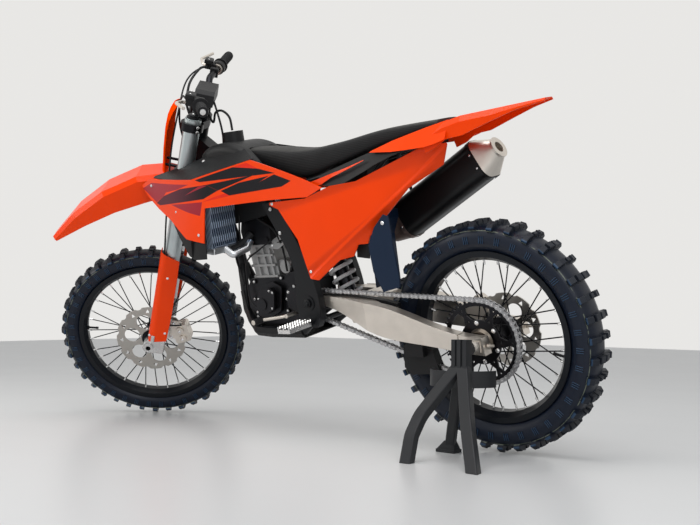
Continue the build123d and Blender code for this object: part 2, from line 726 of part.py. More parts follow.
RAIL = [
    (690, 104, SPAR_TOP + GAP), (690, 104, 822), (600, 66, 836), (420, 66, 868), (250, 66, 898), (126, 66, 908),
]
STAY = [(600, 104, 598), (530, 104, 612), (330, 66, 820), (236, 66, 899)]
with BuildPart() as subframe:
    add(both_sides(strut(RAIL, 9)))
    add(both_sides(strut(STAY, 8)))
    with Locations(Location((121, 0, 909))):
        Box(14, 140, 20)
    add(both_sides(strut([(520, 66, 850), (520, 74, 775), (520, 175, 775)], 6)))
    add(strut([(200, 66, 906), (200, 72, 850), (200, 130, 850)], 6))
    add(strut([(292, -66, 862), (292, -104, 770)], 6))
    add(frame.part, mode=Mode.SUBTRACT)
    add(panel_beyond, mode=Mode.SUBTRACT)
    add(silencer.part, mode=Mode.SUBTRACT)
    add(rear_fender.part, mode=Mode.SUBTRACT)
    add(seat_body, mode=Mode.SUBTRACT)

SHROUD_OUTLINE = [
    (1220, 900), (1164, 918), (924, 899), (710, 936), (453, 824), (515, 800), (651, 804), (876, 803),
    (888, 692), (965, 710), (1044, 776), (1115, 816), (1182, 861),
]
SHROUD_FOOT = 670.0
SHROUD_LEAN = 0.12
SHROUD_PLAN = [(1250, 202), (1060, 238), (900, 246), (760, 205), (620, 166), (450, 152)]
shroud_left = curved_sheet(SHROUD_OUTLINE, SHROUD_PLAN, SHROUD_FOOT, PANEL_T, SHROUD_LEAN)
shroud_beyond = both_sides(beyond(SHROUD_OUTLINE, SHROUD_PLAN, SHROUD_FOOT, PANEL_T, SHROUD_LEAN))
with BuildPart() as radiator_shrouds:
    add(both_sides(shroud_left))

RADIATOR = Plane(origin=(905, 0, 650), x_dir=(0, 1, 0), z_dir=(-sin(radians(8)), 0, cos(radians(8))))
RADIATOR_H = 236.0
RADIATOR_W = 104.0
FINS = 11
with BuildPart() as radiators:
    for side in (1, -1):
        with BuildSketch(RADIATOR):
            with Locations((side * 154, 0)):
                Rectangle(RADIATOR_W, 12)
                with GridLocations(RADIATOR_W / FINS, 0, FINS + 1, 1):
                    Rectangle(3, 34)
        extrude(amount=RADIATOR_H)
        for level in (0, RADIATOR_H - 26):
            with BuildSketch(RADIATOR.offset(level)):
                with Locations((side * 154, 0)):
                    RectangleRounded(RADIATOR_W + 4, 38, 8)
            extrude(amount=26)
        add(round_bar([(905, side * 110, 745), (1010, side * 4, 745)], 6))
        add(cross_rod(893, 820, side * 150 - 90, side * 150 + 90, 6))
        elbow = [(896, side * 150, 664), (868, side * 140, 636), (850, side * 90, 648), (852, side * 70, 668)]
        add(round_bar(elbow, 13, 12))
    add(frame.part, mode=Mode.SUBTRACT)
    add(head_cover.part, mode=Mode.SUBTRACT)
    add(shroud_beyond, mode=Mode.SUBTRACT)

GUARD_FOOT = 632.0
GUARD_OUTLINE = [(1062, 806), (1006, 716), (960, 654), (930, 640), (886, 640), (882, 806)]
GUARD_REACH = [(1100, 500), (800, 500), (800, 1000), (1100, 1000)]
REACH_FOOT = 400.0
inside_shroud = SHROUD_LEAN * (SHROUD_FOOT - GUARD_FOOT) - PANEL_T - GAP
guard_plan = [(x, y + inside_shroud) for x, y in SHROUD_PLAN]
LOUVRES = 7
LOUVRE_PITCH = 24.0


def louvred_sheet():
    """Leaning front of the guard, with a column of level openings."""
    with BuildPart() as made:
        add(side_plate([(944, 650), (948, 650), (926, 860), (922, 860)], 100, 260))
        for i in range(LOUVRES):
            low = 676 + LOUVRE_PITCH * i
            with Locations(Location((936, 154, low + LOUVRE_PITCH / 4))):
                Box(60, 84, LOUVRE_PITCH / 2, mode=Mode.SUBTRACT)
    return made.part


with BuildPart() as guard_half:
    add(curved_sheet(GUARD_OUTLINE, guard_plan, GUARD_FOOT, GUARD_T, SHROUD_LEAN))
    add(louvred_sheet())
    add(shroud_beyond, mode=Mode.SUBTRACT)
    add(beyond(GUARD_REACH, guard_plan, REACH_FOOT, 0, 0), mode=Mode.SUBTRACT)
with BuildPart() as radiator_guards:
    add(both_sides(guard_half.part))

with BuildPart() as airbox:
    add(side_plate([(331.3, 704), (500, 690), (506, 800), (480, 856), (331.3, 884)], -56.6, 56.6))

FLAP_BACK = [(352, 500), (350, 650), (327, 700), (325.6, 724)]
with BuildPart() as mud_flap:
    add(side_plate([*FLAP_BACK, (329.6, 724), (331, 702), (354, 652), (356, 500)], -62, 62))

# ---------------------------------------------------------------- swingarm, shock
ARM_TOP = [(606, 484), (547, 482), (396, 471), (275, 449), (144, 404), (40, 374), (-36, 366)]
ARM_BOTTOM = [(606, 446), (510, 442), (409, 405), (326, 370), (154, 341), (2, 320), (-42, 316)]
ARM_RIDGE = 3.0                # the upper edge stands out by this much
ARM_INNER = 94.0
ARM_OUTER = 130.0
SWINGARM_PLAN = [
    (614, 52), (614, 88), (540, 90), (360, ARM_OUTER), (-42, ARM_OUTER), (-42, ARM_INNER),
    (320, ARM_INNER), (372, 70), (372, -1), (452, -1), (452, 52),
]


def arm_slab(grow):
    """Left arm seen from above, between the ground and above the arm."""
    with BuildPart() as made:
        with BuildSketch():
            with BuildLine():
                Polyline(*SWINGARM_PLAN, close=True)
            make_face()
            if grow:
                offset(amount=grow)
        extrude(amount=700)
    return made.part


def along_arm(above, below, y0, y1, knots):
    """Strip that follows the arm's upper edge through its first knots."""
    line = ARM_TOP[:knots]
    return smooth_plate([(x, z + above) for x, z in line], [(x, z - below) for x, z in line], y0, y1)


with BuildPart() as arm_ridge:
    add(along_arm(1.5, 15, ARM_INNER + 4, 140, 6))
    add(arm_slab(ARM_RIDGE), mode=Mode.INTERSECT)
with BuildPart() as arm_left:
    add(smooth_plate(ARM_TOP, ARM_BOTTOM, -1, 140))
    add(arm_slab(0), mode=Mode.INTERSECT)
    add(arm_ridge.part)
    add(cross_rod(0, REAR_TYRE_R, 80, 140, AXLE_R + GAP), mode=Mode.SUBTRACT)
    add(cross_rod(PIVOT[0], PIVOT[1], 40, 100, PIVOT_R + GAP), mode=Mode.SUBTRACT)

shock_foot = Vector(487, 0, 392)
shock_head = Vector(598, 0, 762)
shock_axis = Plane(origin=shock_foot, x_dir=(0, 1, 0), z_dir=shock_head - shock_foot)
shock_length = (shock_head - shock_foot).length
with BuildPart() as shock_room:
    with BuildSketch(shock_axis):
        Circle(47)
    extrude(amount=200)
with BuildPart() as swingarm:
    add(both_sides(arm_left.part))
    add(shock_room.part, mode=Mode.SUBTRACT)

with BuildPart() as shock:
    with BuildSketch(shock_axis):
        Circle(14)
    extrude(amount=90)
    with BuildSketch(shock_axis.offset(60)):
        Circle(38)
    extrude(amount=10)
    with BuildSketch(shock_axis.offset(60)):
        Circle(24)
    extrude(amount=shock_length - 70)
    with BuildSketch(shock_axis.offset(shock_length - 90)):
        Circle(38)
    extrude(amount=14)
    add(cross_rod(shock_foot.X, shock_foot.Z, -16, 16, 16))
    add(cross_rod(shock_foot.X, shock_foot.Z, -17, 17, 7 + GAP), mode=Mode.SUBTRACT)
    add(frame.part, mode=Mode.SUBTRACT)

COIL_R = 37.0
COIL_WIRE_R = 6.0
COILS = 7
coil_height = shock_length - 160 - 2 * (COIL_WIRE_R + GAP)
with BuildPart() as coil_spring:
    with BuildLine() as coil:
        Helix(pitch=coil_height / COILS, height=coil_height, radius=COIL_R)
    with BuildSketch(Plane(origin=coil.line @ 0, z_dir=coil.line % 0)):
        Circle(COIL_WIRE_R)
    sweep(is_frenet=True)
with BuildPart() as shock_spring:
    add(coil_spring.part.moved(shock_axis.location * Pos(0, 0, 70 + GAP + COIL_WIRE_R)))

with BuildPart() as shock_linkage:
    add(both_sides(side_plate([(440, 440), (502, 396), (496, 380), (420, 376), (396, 430)], 17, 26)))
    add(cross_rod(shock_foot.X, shock_foot.Z, -26, 26, 7))
    add(swingarm.part, mode=Mode.SUBTRACT)

# ---------------------------------------------------------------- chain side, foot controls
with BuildPart() as chain_guards:
    add(side_plate([(142, 246), (246, 240), (268, 262), (262, 332), (160, 318)], 62, 92))
    add(side_plate([(180, 300), (240, 300), (240, 380), (180, 380)], 88, 112))
    add(along_arm(4, 6, 58, 78, 4))
    add(chain_loop(CHAIN_H + 4, CHAIN_W + 4), mode=Mode.SUBTRACT)
    add(swingarm.part, mode=Mode.SUBTRACT)

PEG = (603.0, 405.0)
PEG_Y = (131.0, 235.0)
TEETH = 9


def toothed_bar(x):
    """Upright bar of the footpeg with a saw-toothed upper edge."""
    step = (PEG_Y[1] - PEG_Y[0]) / TEETH
    edge = [(PEG_Y[0] + step * i / 2, PEG[1] + (4 if i % 2 else 12)) for i in range(2 * TEETH + 1)]
    with BuildPart() as made:
        with BuildSketch(Plane.YZ.offset(x)):
            with BuildLine():
                Polyline(*edge, (PEG_Y[1], PEG[1] - 10), (PEG_Y[0], PEG[1] - 10), close=True)
            make_face()
        extrude(amount=5)
    return made.part


with BuildPart() as footpeg:
    for x in (-25, -2.5, 20):
        add(toothed_bar(PEG[0] + x))
    for y in (PEG_Y[0] + 3, sum(PEG_Y) / 2, PEG_Y[1] - 3):
        with Locations(Location((PEG[0], y, PEG[1] - 4))):
            Box(50, 6, 12)
    with Locations(Location((PEG[0], 127, PEG[1] - 2))):
        Box(26, 18 - 2 * GAP, 24)
with BuildPart() as footpegs:
    add(both_sides(footpeg.part))

with BuildPart() as foot_levers:
    add(cross_rod(690, 424, ENGINE_Y + GAP, 124, 7))
    add(round_bar([(690, 118, 424), (712, 122, 421), (778, 150, 417)], 5.5, 20))
    add(cross_rod(778, 417, 142, 188, 8))
    add(cross_rod(626, 446, -134, -SPAR_OUT - GAP, 12))
    add(round_bar([(626, -142, 446), (700, -150, 398), (806, -166, 402)], 6, 40))
    add(cross_rod(626, 446, -148, -130, 8))
    with Locations(Location((812, -166, 404))):
        Box(34, 40, 12)

with BuildPart() as frame_guards:
    add(trough([
        (652, 344, 104, 34), (800, 344, 104, 34), (866, 349, 104, 36), (912, 384, 88, 36),
        (947, 420, 68, 34), (967, 490, 54, 30),
    ], PANEL_T, 1))
    add(frame.part, mode=Mode.SUBTRACT)

# ---------------------------------------------------------------- axles and rear caliper
AXLE_NUT_R = 19.0
with BuildPart() as rear_axle_rod:
    add(cross_rod(0, REAR_TYRE_R, -REAR_AXLE_HALF, REAR_AXLE_HALF, AXLE_R))
    add(cross_rod(0, REAR_TYRE_R, ARM_OUTER + GAP, REAR_AXLE_HALF + 10, AXLE_NUT_R))
    add(cross_rod(0, REAR_TYRE_R, -REAR_AXLE_HALF - 10, -ARM_OUTER - GAP, AXLE_NUT_R))
    add(cross_rod(0, REAR_TYRE_R, -160, 160, AXLE_BORE_R), mode=Mode.SUBTRACT)


def caliper(centre, angle, disc_r, disc_y, y0, y1, near, far, half, boss=0.0):
    """Body that straddles a disc: radial reach from near to far, tangential half width."""
    outward = (cos(radians(angle)), 0, sin(radians(angle)))
    body = Plane(origin=(centre[0], 0, centre[1]), x_dir=outward, z_dir=(0, -1, 0))
    with BuildPart() as made:
        with BuildSketch(body.offset(-y0)):
            with Locations(((near + far) / 2, 0)):
                RectangleRounded(far - near, 2 * half, 8)
        extrude(amount=-(y1 - y0))
        if boss:
            with BuildSketch(body.offset(-y1)):
                with Locations(((near + far) / 2, 0)):
                    with GridLocations(0, half, 1, 2):
                        Circle(half * 0.4)
            extrude(amount=-boss)
        add(cross_rod(centre[0], centre[1], disc_y - 7, disc_y + 7, disc_r + 6), mode=Mode.SUBTRACT)
    return made.part


with BuildPart() as rear_brake_caliper:
    add(caliper((0, REAR_TYRE_R), 38, REAR_DISC_R, REAR_DISC_Y, -93.6, -54, 76, 132, 36))

# ---------------------------------------------------------------- steered pieces, on the fork
LEG_X = CLAMP_OFFSET
LEG_Y = LEG_SPACING / 2
LEG_R = 28.5
SLIDER_R = 24.0
LEG_LOW = 345.0
LEG_HIGH = 885.0
LUG_IN = FRONT_HUB_HALF + GAP
LUG_OUT = 128.0
BAR_Z = 908.0
BAR_R = 12.0


def up_post(x, y, z0, z1, radius, bore=0.0):
    """Cylinder, or tube, parallel to the steering axis."""
    with BuildPart() as made:
        with BuildSketch(Plane.XY.offset(z0)):
            with Locations((x, y)):
                Circle(radius)
                if bore:
                    Circle(bore, mode=Mode.SUBTRACT)
        extrude(amount=z1 - z0)
    return made.part


def clamp_plate(z0, z1, front, back):
    """Fork clamp with a ring round each leg and a web to the stem."""
    with BuildPart() as made:
        with BuildSketch(Plane.XY.offset(z0)):
            with Locations((LEG_X, LEG_Y), (LEG_X, -LEG_Y)):
                Circle(LEG_R + 10)
            with BuildLine():
                Polyline((back, -30), (back, 30), (LEG_X - 26, LEG_Y), (front, LEG_Y - 20), (front - 6, 0),
                         (front, 20 - LEG_Y), (LEG_X - 26, -LEG_Y), close=True)
            make_face()
            with Locations((LEG_X, LEG_Y), (LEG_X, -LEG_Y)):
                Circle(LEG_R + GAP, mode=Mode.SUBTRACT)
        extrude(amount=z1 - z0)
    return made.part


bar_left = [(0, 0, BAR_Z), (0, 82, BAR_Z), (10, 160, 966), (-30, 405, 1003)]
grip_dir = (Vector(*bar_left[3]) - Vector(*bar_left[2])).normalized()
bar_end = Vector(*bar_left[3])
with BuildPart() as bar_half:
    add(round_bar(bar_left, BAR_R, 40))
    with BuildSketch(Plane(origin=bar_end, z_dir=grip_dir)):
        Circle(8)
    extrude(amount=-60, mode=Mode.SUBTRACT)
with BuildPart() as handlebar:
    add(both_sides(bar_half.part))

with BuildPart() as triple_clamps:
    add(clamp_plate(*LOWER_CLAMP, 46, -34))
    add(clamp_plate(*UPPER_CLAMP, 44, -30))
    add(up_post(0, 0, LOWER_CLAMP[0], UPPER_CLAMP[1] + 8, STEM_R))
    for y in (-45, 45):
        with Locations(Location((0, y, 900))):
            Box(40, 26, 56)
        add(round_bar([(30, y * 0.8, 684), (140, y * 0.8, 684)], 5))
    add(cross_rod(0, BAR_Z, -80, 80, BAR_R + GAP), mode=Mode.SUBTRACT)

PLATE_LINE = [(106, 674), (113, 740), (117, 860), (104, 906), (70, 937)]
PLATE_FACE = [(-56, 640), (56, 640), (96, 750), (100, 850), (64, 940), (-64, 940), (-100, 850), (-96, 750)]
with BuildPart() as plate_strip:
    with BuildSketch(Plane.XZ.offset(-110)):
        with BuildLine():
            Polyline(*PLATE_LINE, *[(x + 3.5, z + 1) for x, z in reversed(PLATE_LINE)], close=True)
        make_face()
    extrude(amount=220)
with BuildPart() as number_plate:
    with BuildSketch(Plane.YZ):
        with BuildLine():
            Polyline(*PLATE_FACE, close=True)
        make_face()
    extrude(amount=200)
    add(plate_strip.part, mode=Mode.INTERSECT)
with BuildPart() as beyond_plate:
    with BuildSketch(Plane.XZ.offset(-110)):
        with BuildLine():
            Polyline(*PLATE_LINE, (200, 937), (200, 643), close=True)
        make_face()
    extrude(amount=220)
clamps_trimmed = triple_clamps.part - beyond_plate.part

with BuildPart() as fork_tubes:
    for y in (-LEG_Y, LEG_Y):
        add(up_post(LEG_X, y, LEG_LOW, LEG_HIGH, LEG_R))
        add(up_post(LEG_X, y, LEG_HIGH, LEG_HIGH + 6, LEG_R - 7))

with BuildPart() as lower_left:
    add(up_post(LEG_X, LEG_Y, -18, LEG_LOW - GAP, SLIDER_R))
    with BuildSketch(Plane.XZ.offset(-LUG_IN)):
        with Locations((fork_offset, 0)):
            Circle(23)
        with BuildLine():
            Polyline((0, -18), (0, 60), (44, 60), (76, 4), (60, -22), close=True)
        make_face()
    extrude(amount=-(LUG_OUT - LUG_IN))
    with Locations(Location((40, 134, 45))):
        Box(18, 14, 26)
    with Locations(Location((2, 92, 72))):
        Box(26, 15, 76)
    add(cross_rod(fork_offset, 0, 60, 160, AXLE_R + GAP), mode=Mode.SUBTRACT)

GUARD_OUT = 141.0
GUARD_SIDE = [(-7, 45), (60, 27), (80, 60), (66, 392), (-10, 371), (-14, 200)]


def fork_guard():
    """Left guard: a channel round the front and outside of the slider."""
    with BuildPart() as made:
        with BuildSketch(Plane.XY):
            with BuildLine():
                Line((-12, GUARD_OUT), (36, GUARD_OUT))
                ThreePointArc((36, GUARD_OUT), (55, 132), (62, 112))
                Line((62, 112), (62, 88))
                Line((62, 88), (59, 88))
                Line((59, 88), (59, 112))
                ThreePointArc((59, 112), (52.8, 129.8), (36, GUARD_OUT - 3))
                Line((36, GUARD_OUT - 3), (-12, GUARD_OUT - 3))
                Line((-12, GUARD_OUT - 3), (-12, GUARD_OUT))
            make_face()
        extrude(amount=420)
        add(side_plate(GUARD_SIDE, 70, 150), mode=Mode.INTERSECT)
    return made.part


guard_left = fork_guard()
with BuildPart() as fork_guards:
    add(both_sides(guard_left))
with BuildPart() as fork_lowers:
    add(both_sides(lower_left.part - guard_left))

with BuildPart() as front_fender:
    add(trough([
        (-120, 505, 62, 50), (-50, 604, 71, 60), (15, 655, 73, 70), (90, 660, 74, 84),
        (190, 628, 82, 96), (300, 548, 83, 84), (390, 446, 76, 60), (457, 330, 48, 20),
    ], FENDER_T))
    add(up_post(0, 0, 640, LOWER_CLAMP[0] - GAP, 24))

with BuildPart() as front_axle:
    add(cross_rod(fork_offset, 0, -LUG_OUT - 4, LUG_OUT + 4, AXLE_R))
    add(cross_rod(fork_offset, 0, LUG_OUT + GAP, LUG_OUT + 9, 17))
    add(cross_rod(fork_offset, 0, -LUG_OUT - 9, -LUG_OUT - GAP, 17))
    add(cross_rod(fork_offset, 0, -160, 160, AXLE_BORE_R), mode=Mode.SUBTRACT)

with BuildPart() as front_brake_caliper:
    add(caliper((fork_offset, 0), 152, FRONT_DISC_R, FRONT_DISC_Y, 38, 92, 94, 152, 34, PISTON_BOSS))
    with Locations(Location((-31, 87, 70))):
        Box(39.2, 10, 70)
    add(cross_rod(fork_offset, 0, FRONT_DISC_Y - 7, FRONT_DISC_Y + 7, FRONT_DISC_R + 6), mode=Mode.SUBTRACT)

with BuildPart() as bar_pad:
    with BuildSketch(Plane.YZ.offset(-33)):
        with BuildLine():
            Polyline((-82, 929), (82, 929), (74, 966), (60, 977), (-60, 977), (-74, 966), close=True)
        make_face()
    extrude(amount=66)

GRIP_LEN = 118.0


def on_bar(back):
    """Plane across the left grip at a distance in from the bar's end, facing outward."""
    return Plane(origin=bar_end - grip_dir * back, x_dir=(0, 0, 1), z_dir=grip_dir)


with BuildPart() as grip_left:
    with BuildSketch(on_bar(GRIP_LEN)):
        Circle(16.5)
    extrude(amount=GRIP_LEN)
    with BuildSketch(on_bar(GRIP_LEN)):
        Circle(27)
    extrude(amount=5)
    with BuildSketch(on_bar(GRIP_LEN)):
        Circle(BAR_R + GAP)
    extrude(amount=GRIP_LEN, mode=Mode.SUBTRACT)
with BuildPart() as grips:
    add(both_sides(grip_left.part))

with BuildPart() as lever_left:
    with BuildSketch(on_bar(GRIP_LEN + 44)):
        Circle(19)
        Circle(BAR_R + GAP, mode=Mode.SUBTRACT)
    extrude(amount=30)
    add(round_bar([(14, 255, 982), (52, 275, 984), (62, 320, 990), (30, 396, 1000)], 5.5, 20))
with BuildPart() as hand_levers:
    add(both_sides(lever_left.part))
    add(bar_half.part, mode=Mode.SUBTRACT)

HOSE_R = 3.0
HOSE = [
    (44, -252, 978), (84, -160, 950), (86, -20, 880), (82, 76, 760), (70, 110, 640), (58, 126, 500),
    (47, 127, 380), (46, 129, 240), (36, 132, 150), (6, 133, 114), (-28, 114, 102), (-48, 95.4, 98),
]
with BuildPart() as brake_hose:
    with BuildLine() as hose_path:
        Spline(*HOSE)
    with BuildSketch(Plane(origin=hose_path.line @ 0, z_dir=hose_path.line % 0)):
        Circle(HOSE_R)
    sweep()

# ---------------------------------------------------------------- parked pose
lean = Rot(-LEAN, 0, 0)
turned = FORK.location * Rot(0, 0, STEER_STOP)
rear_at = Pos(0, 0, REAR_TYRE_R)
front_at = turned * Pos(fork_offset, 0, 0)


def lowest(part):
    return part.bounding_box().min.Z


pitch = 0.0
for _ in range(4):
    down_front = lowest(front_tyre.moved(Rot(0, pitch, 0) * lean * front_at))
    down_rear = lowest(rear_tyre.moved(Rot(0, pitch, 0) * lean * rear_at))
    pitch += degrees(asin((down_front - down_rear) / WHEELBASE))
leaned = Pos(0, 0, -down_rear) * Rot(0, pitch, 0) * lean

# ---------------------------------------------------------------- paddock stand, on the ground
PEG_R = AXLE_BORE_R - GAP
peg_start = REAR_AXLE_HALF + 10 + GAP
peg_end = peg_start + 42
BLOCK = (48.0, 30.0, 102.0)
peg_tip = (leaned * Pos(0, peg_end, REAR_TYRE_R)).position
block_x, block_y = peg_tip.X + 2, peg_tip.Y - 6
BLOCK_LOW = 228.0
INNER_FOOT = (125, 132)
STAND_LEGS = [                 # centre line, width and depth of each leg
    ([(block_x + 10, block_y, 252), (98, 312, 121), (101, 350, 70), (95, 386, -20)], 34, 28),
    ([(block_x - 8, block_y, 252), (-50, 310, 131), (-72, 336, 84), (-140, 415, -24)], 34, 28),
    ([(block_x + 14, block_y - 14, 252), (INNER_FOOT[0] - 8, INNER_FOOT[1] + 4, 14)], 28, 22),
]
BAND = (45.0, 168.0)           # centre of the curved band between the legs
BAND_R = 100.0
BAND_T = 4.0


def stand_leg(points, wide, deep):
    """Flat-sided bar from the block to a foot, cut off on the ground."""
    path = bent_path(points, 70)
    with BuildPart() as made:
        with BuildSketch(Plane(origin=path @ 0, x_dir=(1, 0, 0), z_dir=path % 0)):
            RectangleRounded(wide, deep, 4)
        sweep(path=path)
    return made.part


with BuildPart() as stand_peg:
    add(cross_rod(0, REAR_TYRE_R, REAR_AXLE_HALF - 40, peg_end, PEG_R))
    add(cross_rod(0, REAR_TYRE_R, peg_start, peg_end, 20))
with BuildPart() as paddock_stand:
    with Locations(Location((block_x, block_y, BLOCK_LOW + BLOCK[2] / 2))):
        Box(*BLOCK)
    with Locations(*[Location((block_x + x, block_y + BLOCK[1] / 2, BLOCK_LOW + 58)) for x in (-9, 9)]):
        Box(6, 10, 92, mode=Mode.SUBTRACT)
    add(stand_peg.part.moved(leaned))
    for leg in STAND_LEGS:
        add(stand_leg(*leg))
    with BuildSketch(Plane.XY):
        with Locations(INNER_FOOT):
            RectangleRounded(66, 44, 6)
    with BuildSketch(Plane.XY.offset(9)):
        with Locations(INNER_FOOT):
            RectangleRounded(66, 44, 6)
    loft()
    with BuildSketch(Plane.XY.offset(9)):
        with Locations(INNER_FOOT):
            RectangleRounded(62, 40, 6)
    with BuildSketch(Plane.XY.offset(34)):
        with Locations((INNER_FOOT[0] - 11, INNER_FOOT[1] + 8)):
            RectangleRounded(30, 24, 4)
    loft()
    with BuildSketch(Plane.XY.offset(198)):
        with Locations(BAND):
            Circle(BAND_R)
            Circle(BAND_R - BAND_T, mode=Mode.SUBTRACT)
        with Locations((BAND[0], BAND[1] - BAND_R)):
            Rectangle(3 * BAND_R, 2 * BAND_R, mode=Mode.SUBTRACT)
    extrude(amount=46)
    with Locations(Location((0, 300, -50))):
        Box(800, 800, 100, mode=Mode.SUBTRACT)

# ---------------------------------------------------------------- files
ON_BIKE = {
    "frame": frame, "subframe": subframe, "engine_case": engine_case, "cylinder": cylinder,
    "head_cover": head_cover, "exhaust_header": exhaust_header, "silencer": silencer,
    "silencer_cap": silencer_cap, "radiators": radiators, "radiator_shrouds": radiator_shrouds,
    "radiator_guards": radiator_guards, "fuel_tank": fuel_tank, "seat": seat,
    "side_panels": side_panels, "rear_fender": rear_fender, "airbox": airbox, "mud_flap": mud_flap,
    "swingarm": swingarm, "shock": shock, "shock_spring": shock_spring,
    "shock_linkage": shock_linkage, "chain": chain, "chain_guards": chain_guards,
    "footpegs": footpegs, "foot_levers": foot_levers, "frame_guards": frame_guards,
    "rear_brake_caliper": rear_brake_caliper,
}
pieces = {name: made.part.moved(leaned) for name, made in ON_BIKE.items()}
pieces["rear_axle"] = rear_axle_rod.part.moved(leaned)
pieces["drive_sprocket"] = drive_sprocket.moved(leaned)
ON_FORK = {
    "triple_clamps": clamps_trimmed, "fork_tubes": fork_tubes.part,
    "fork_lowers": fork_lowers.part, "fork_guards": fork_guards.part,
    "front_fender": front_fender.part, "number_plate": number_plate.part,
    "handlebar": handlebar.part, "bar_pad": bar_pad.part, "grips": grips.part,
    "hand_levers": hand_levers.part, "front_brake_caliper": front_brake_caliper.part,
    "front_axle": front_axle.part, "brake_hose": brake_hose.part,
}
pieces.update({name: part.moved(leaned * turned) for name, part in ON_FORK.items()})
FRONT_WHEEL = {
    "front_tyre": front_tyre, "front_rim": front_rim, "front_hub": front_hub, "front_disc": front_disc,
}
pieces.update({name: part.moved(leaned * front_at) for name, part in FRONT_WHEEL.items()})
REAR_WHEEL = {
    "rear_tyre": rear_tyre, "rear_rim": rear_rim, "rear_hub": rear_hub, "rear_disc": rear_disc,
    "rear_sprocket": rear_sprocket,
}
pieces.update({name: part.moved(leaned * rear_at) for name, part in REAR_WHEEL.items()})
pieces["paddock_stand"] = paddock_stand.part

box = Compound(list(pieces.values())).bounding_box()
to_origin = Pos(-box.center().X, -box.center().Y, -box.min.Z)
for name, part in pieces.items():
    part = part.moved(to_origin)
    part.label = name
    export_step(part, f"parts/{name}.step")
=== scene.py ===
"""Looks of the motocross bike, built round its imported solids.

The solids keep their shape and place and take materials here; tyres, chain, seat and number
plate are replaced by finer pieces of the same size.  Sizes are in millimetres, in the bike's
own frame (+X forward from the rear axle, +Y left, +Z up from the ground) or the turned fork's.
"""

import json
import math

import bmesh
import bpy
from mathutils import Matrix, Vector


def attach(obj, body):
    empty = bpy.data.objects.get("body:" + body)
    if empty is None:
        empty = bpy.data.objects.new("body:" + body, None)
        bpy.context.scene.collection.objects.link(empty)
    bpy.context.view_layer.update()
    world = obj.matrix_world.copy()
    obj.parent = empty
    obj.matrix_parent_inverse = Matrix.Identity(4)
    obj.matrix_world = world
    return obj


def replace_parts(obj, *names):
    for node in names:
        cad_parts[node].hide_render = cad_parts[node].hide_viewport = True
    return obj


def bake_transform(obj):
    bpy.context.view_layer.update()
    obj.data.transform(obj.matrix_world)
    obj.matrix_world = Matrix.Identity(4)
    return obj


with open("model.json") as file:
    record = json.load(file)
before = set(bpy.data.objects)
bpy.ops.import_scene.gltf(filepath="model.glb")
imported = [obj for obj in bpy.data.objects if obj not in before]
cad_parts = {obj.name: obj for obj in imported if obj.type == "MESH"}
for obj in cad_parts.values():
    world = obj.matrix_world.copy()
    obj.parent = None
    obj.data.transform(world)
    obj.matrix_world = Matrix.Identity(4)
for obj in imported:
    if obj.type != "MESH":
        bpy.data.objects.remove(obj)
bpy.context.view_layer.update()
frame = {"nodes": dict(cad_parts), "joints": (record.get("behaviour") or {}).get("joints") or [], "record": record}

MM = 0.001
LEFT, RIGHT, UP, BACKWARD = (0, 1, 0), (0, -1, 0), (0, 0, 1), (-1, 0, 0)
SIDES = (1, -1)                       # left and right
RAKE = math.radians(26.1)
REAR_R, FRONT_R = 341.0, 347.0        # tyre radii
REAR_WIDE, FRONT_WIDE = 112.0, 84.0   # tyre widths
STEER_AT = 780                        # height of the steering joint's point in the fork's frame
SILENCER_TILT = math.radians(28)
SILENCER_AT = (392, -118, 651)        # front end of the silencer's axis


# ------------------------------ places on the bike
def frame_at(side, up, through, height):
    """Millimetre frame with Y along side and Z along up; the given point lies at this height."""
    y, z = Vector(side).normalized(), Vector(up).normalized()
    made = Matrix((y.cross(z), y, z)).transposed().to_4x4()
    made.translation = Vector(through) - z * height * MM
    return made @ Matrix.Scale(MM, 4)


joints = {joint["name"]: joint for joint in frame["joints"]}
JOINT_ORDER = ("steering_turn", "front_wheel_spin", "rear_wheel_spin")
steer, front_spin, rear_spin = (joints[name] for name in JOINT_ORDER)
steer_up = Vector(steer["axis"])
steer_ahead = Vector(rear_spin["axis"]).cross(steer_up)
bike_up = steer_ahead * math.sin(RAKE) + steer_up * math.cos(RAKE)
BIKE = frame_at(rear_spin["axis"], bike_up, rear_spin["pos_m"], REAR_R)
FORK = frame_at(front_spin["axis"], steer_up, steer["pos_m"], STEER_AT)
REAR_WHEEL = frame_at(rear_spin["axis"], bike_up, rear_spin["pos_m"], 0)
FRONT_WHEEL = frame_at(front_spin["axis"], steer_up, front_spin["pos_m"], 0)


# ------------------------------ shader maths
class Sock:
    """One output socket of a shader tree, so that shader maths reads as Python maths."""

    def __init__(self, tree, socket):
        self.tree = tree
        self.socket = socket

    def of(self, operation, *others):
        return make(self.tree, "ShaderNodeMath", dict(enumerate((self, *others))), operation=operation)

    def __add__(self, other):
        return self.of("ADD", other)

    def __mul__(self, other):
        return self.of("MULTIPLY", other)

    __radd__ = __add__
    __rmul__ = __mul__

    def __sub__(self, other):
        return self.of("SUBTRACT", other)

    def __rsub__(self, other):
        return self * -1 + other

    def __abs__(self):
        return self.of("ABSOLUTE")

    def above(self, level, soft):
        """0 below the level and 1 above it, over a soft edge."""
        inputs = {0: self, 1: level - soft, 2: level + soft, 3: 0.0, 4: 1.0}
        return make(self.tree, "ShaderNodeMapRange", inputs, interpolation_type="SMOOTHSTEP")

    def dot(self, vector):
        inputs = {0: self, 1: tuple(vector)}
        return make(self.tree, "ShaderNodeVectorMath", inputs, out=1, operation="DOT_PRODUCT")


def plug(tree, slot, value):
    if isinstance(value, Sock):
        tree.links.new(value.socket, slot)
    else:
        slot.default_value = value


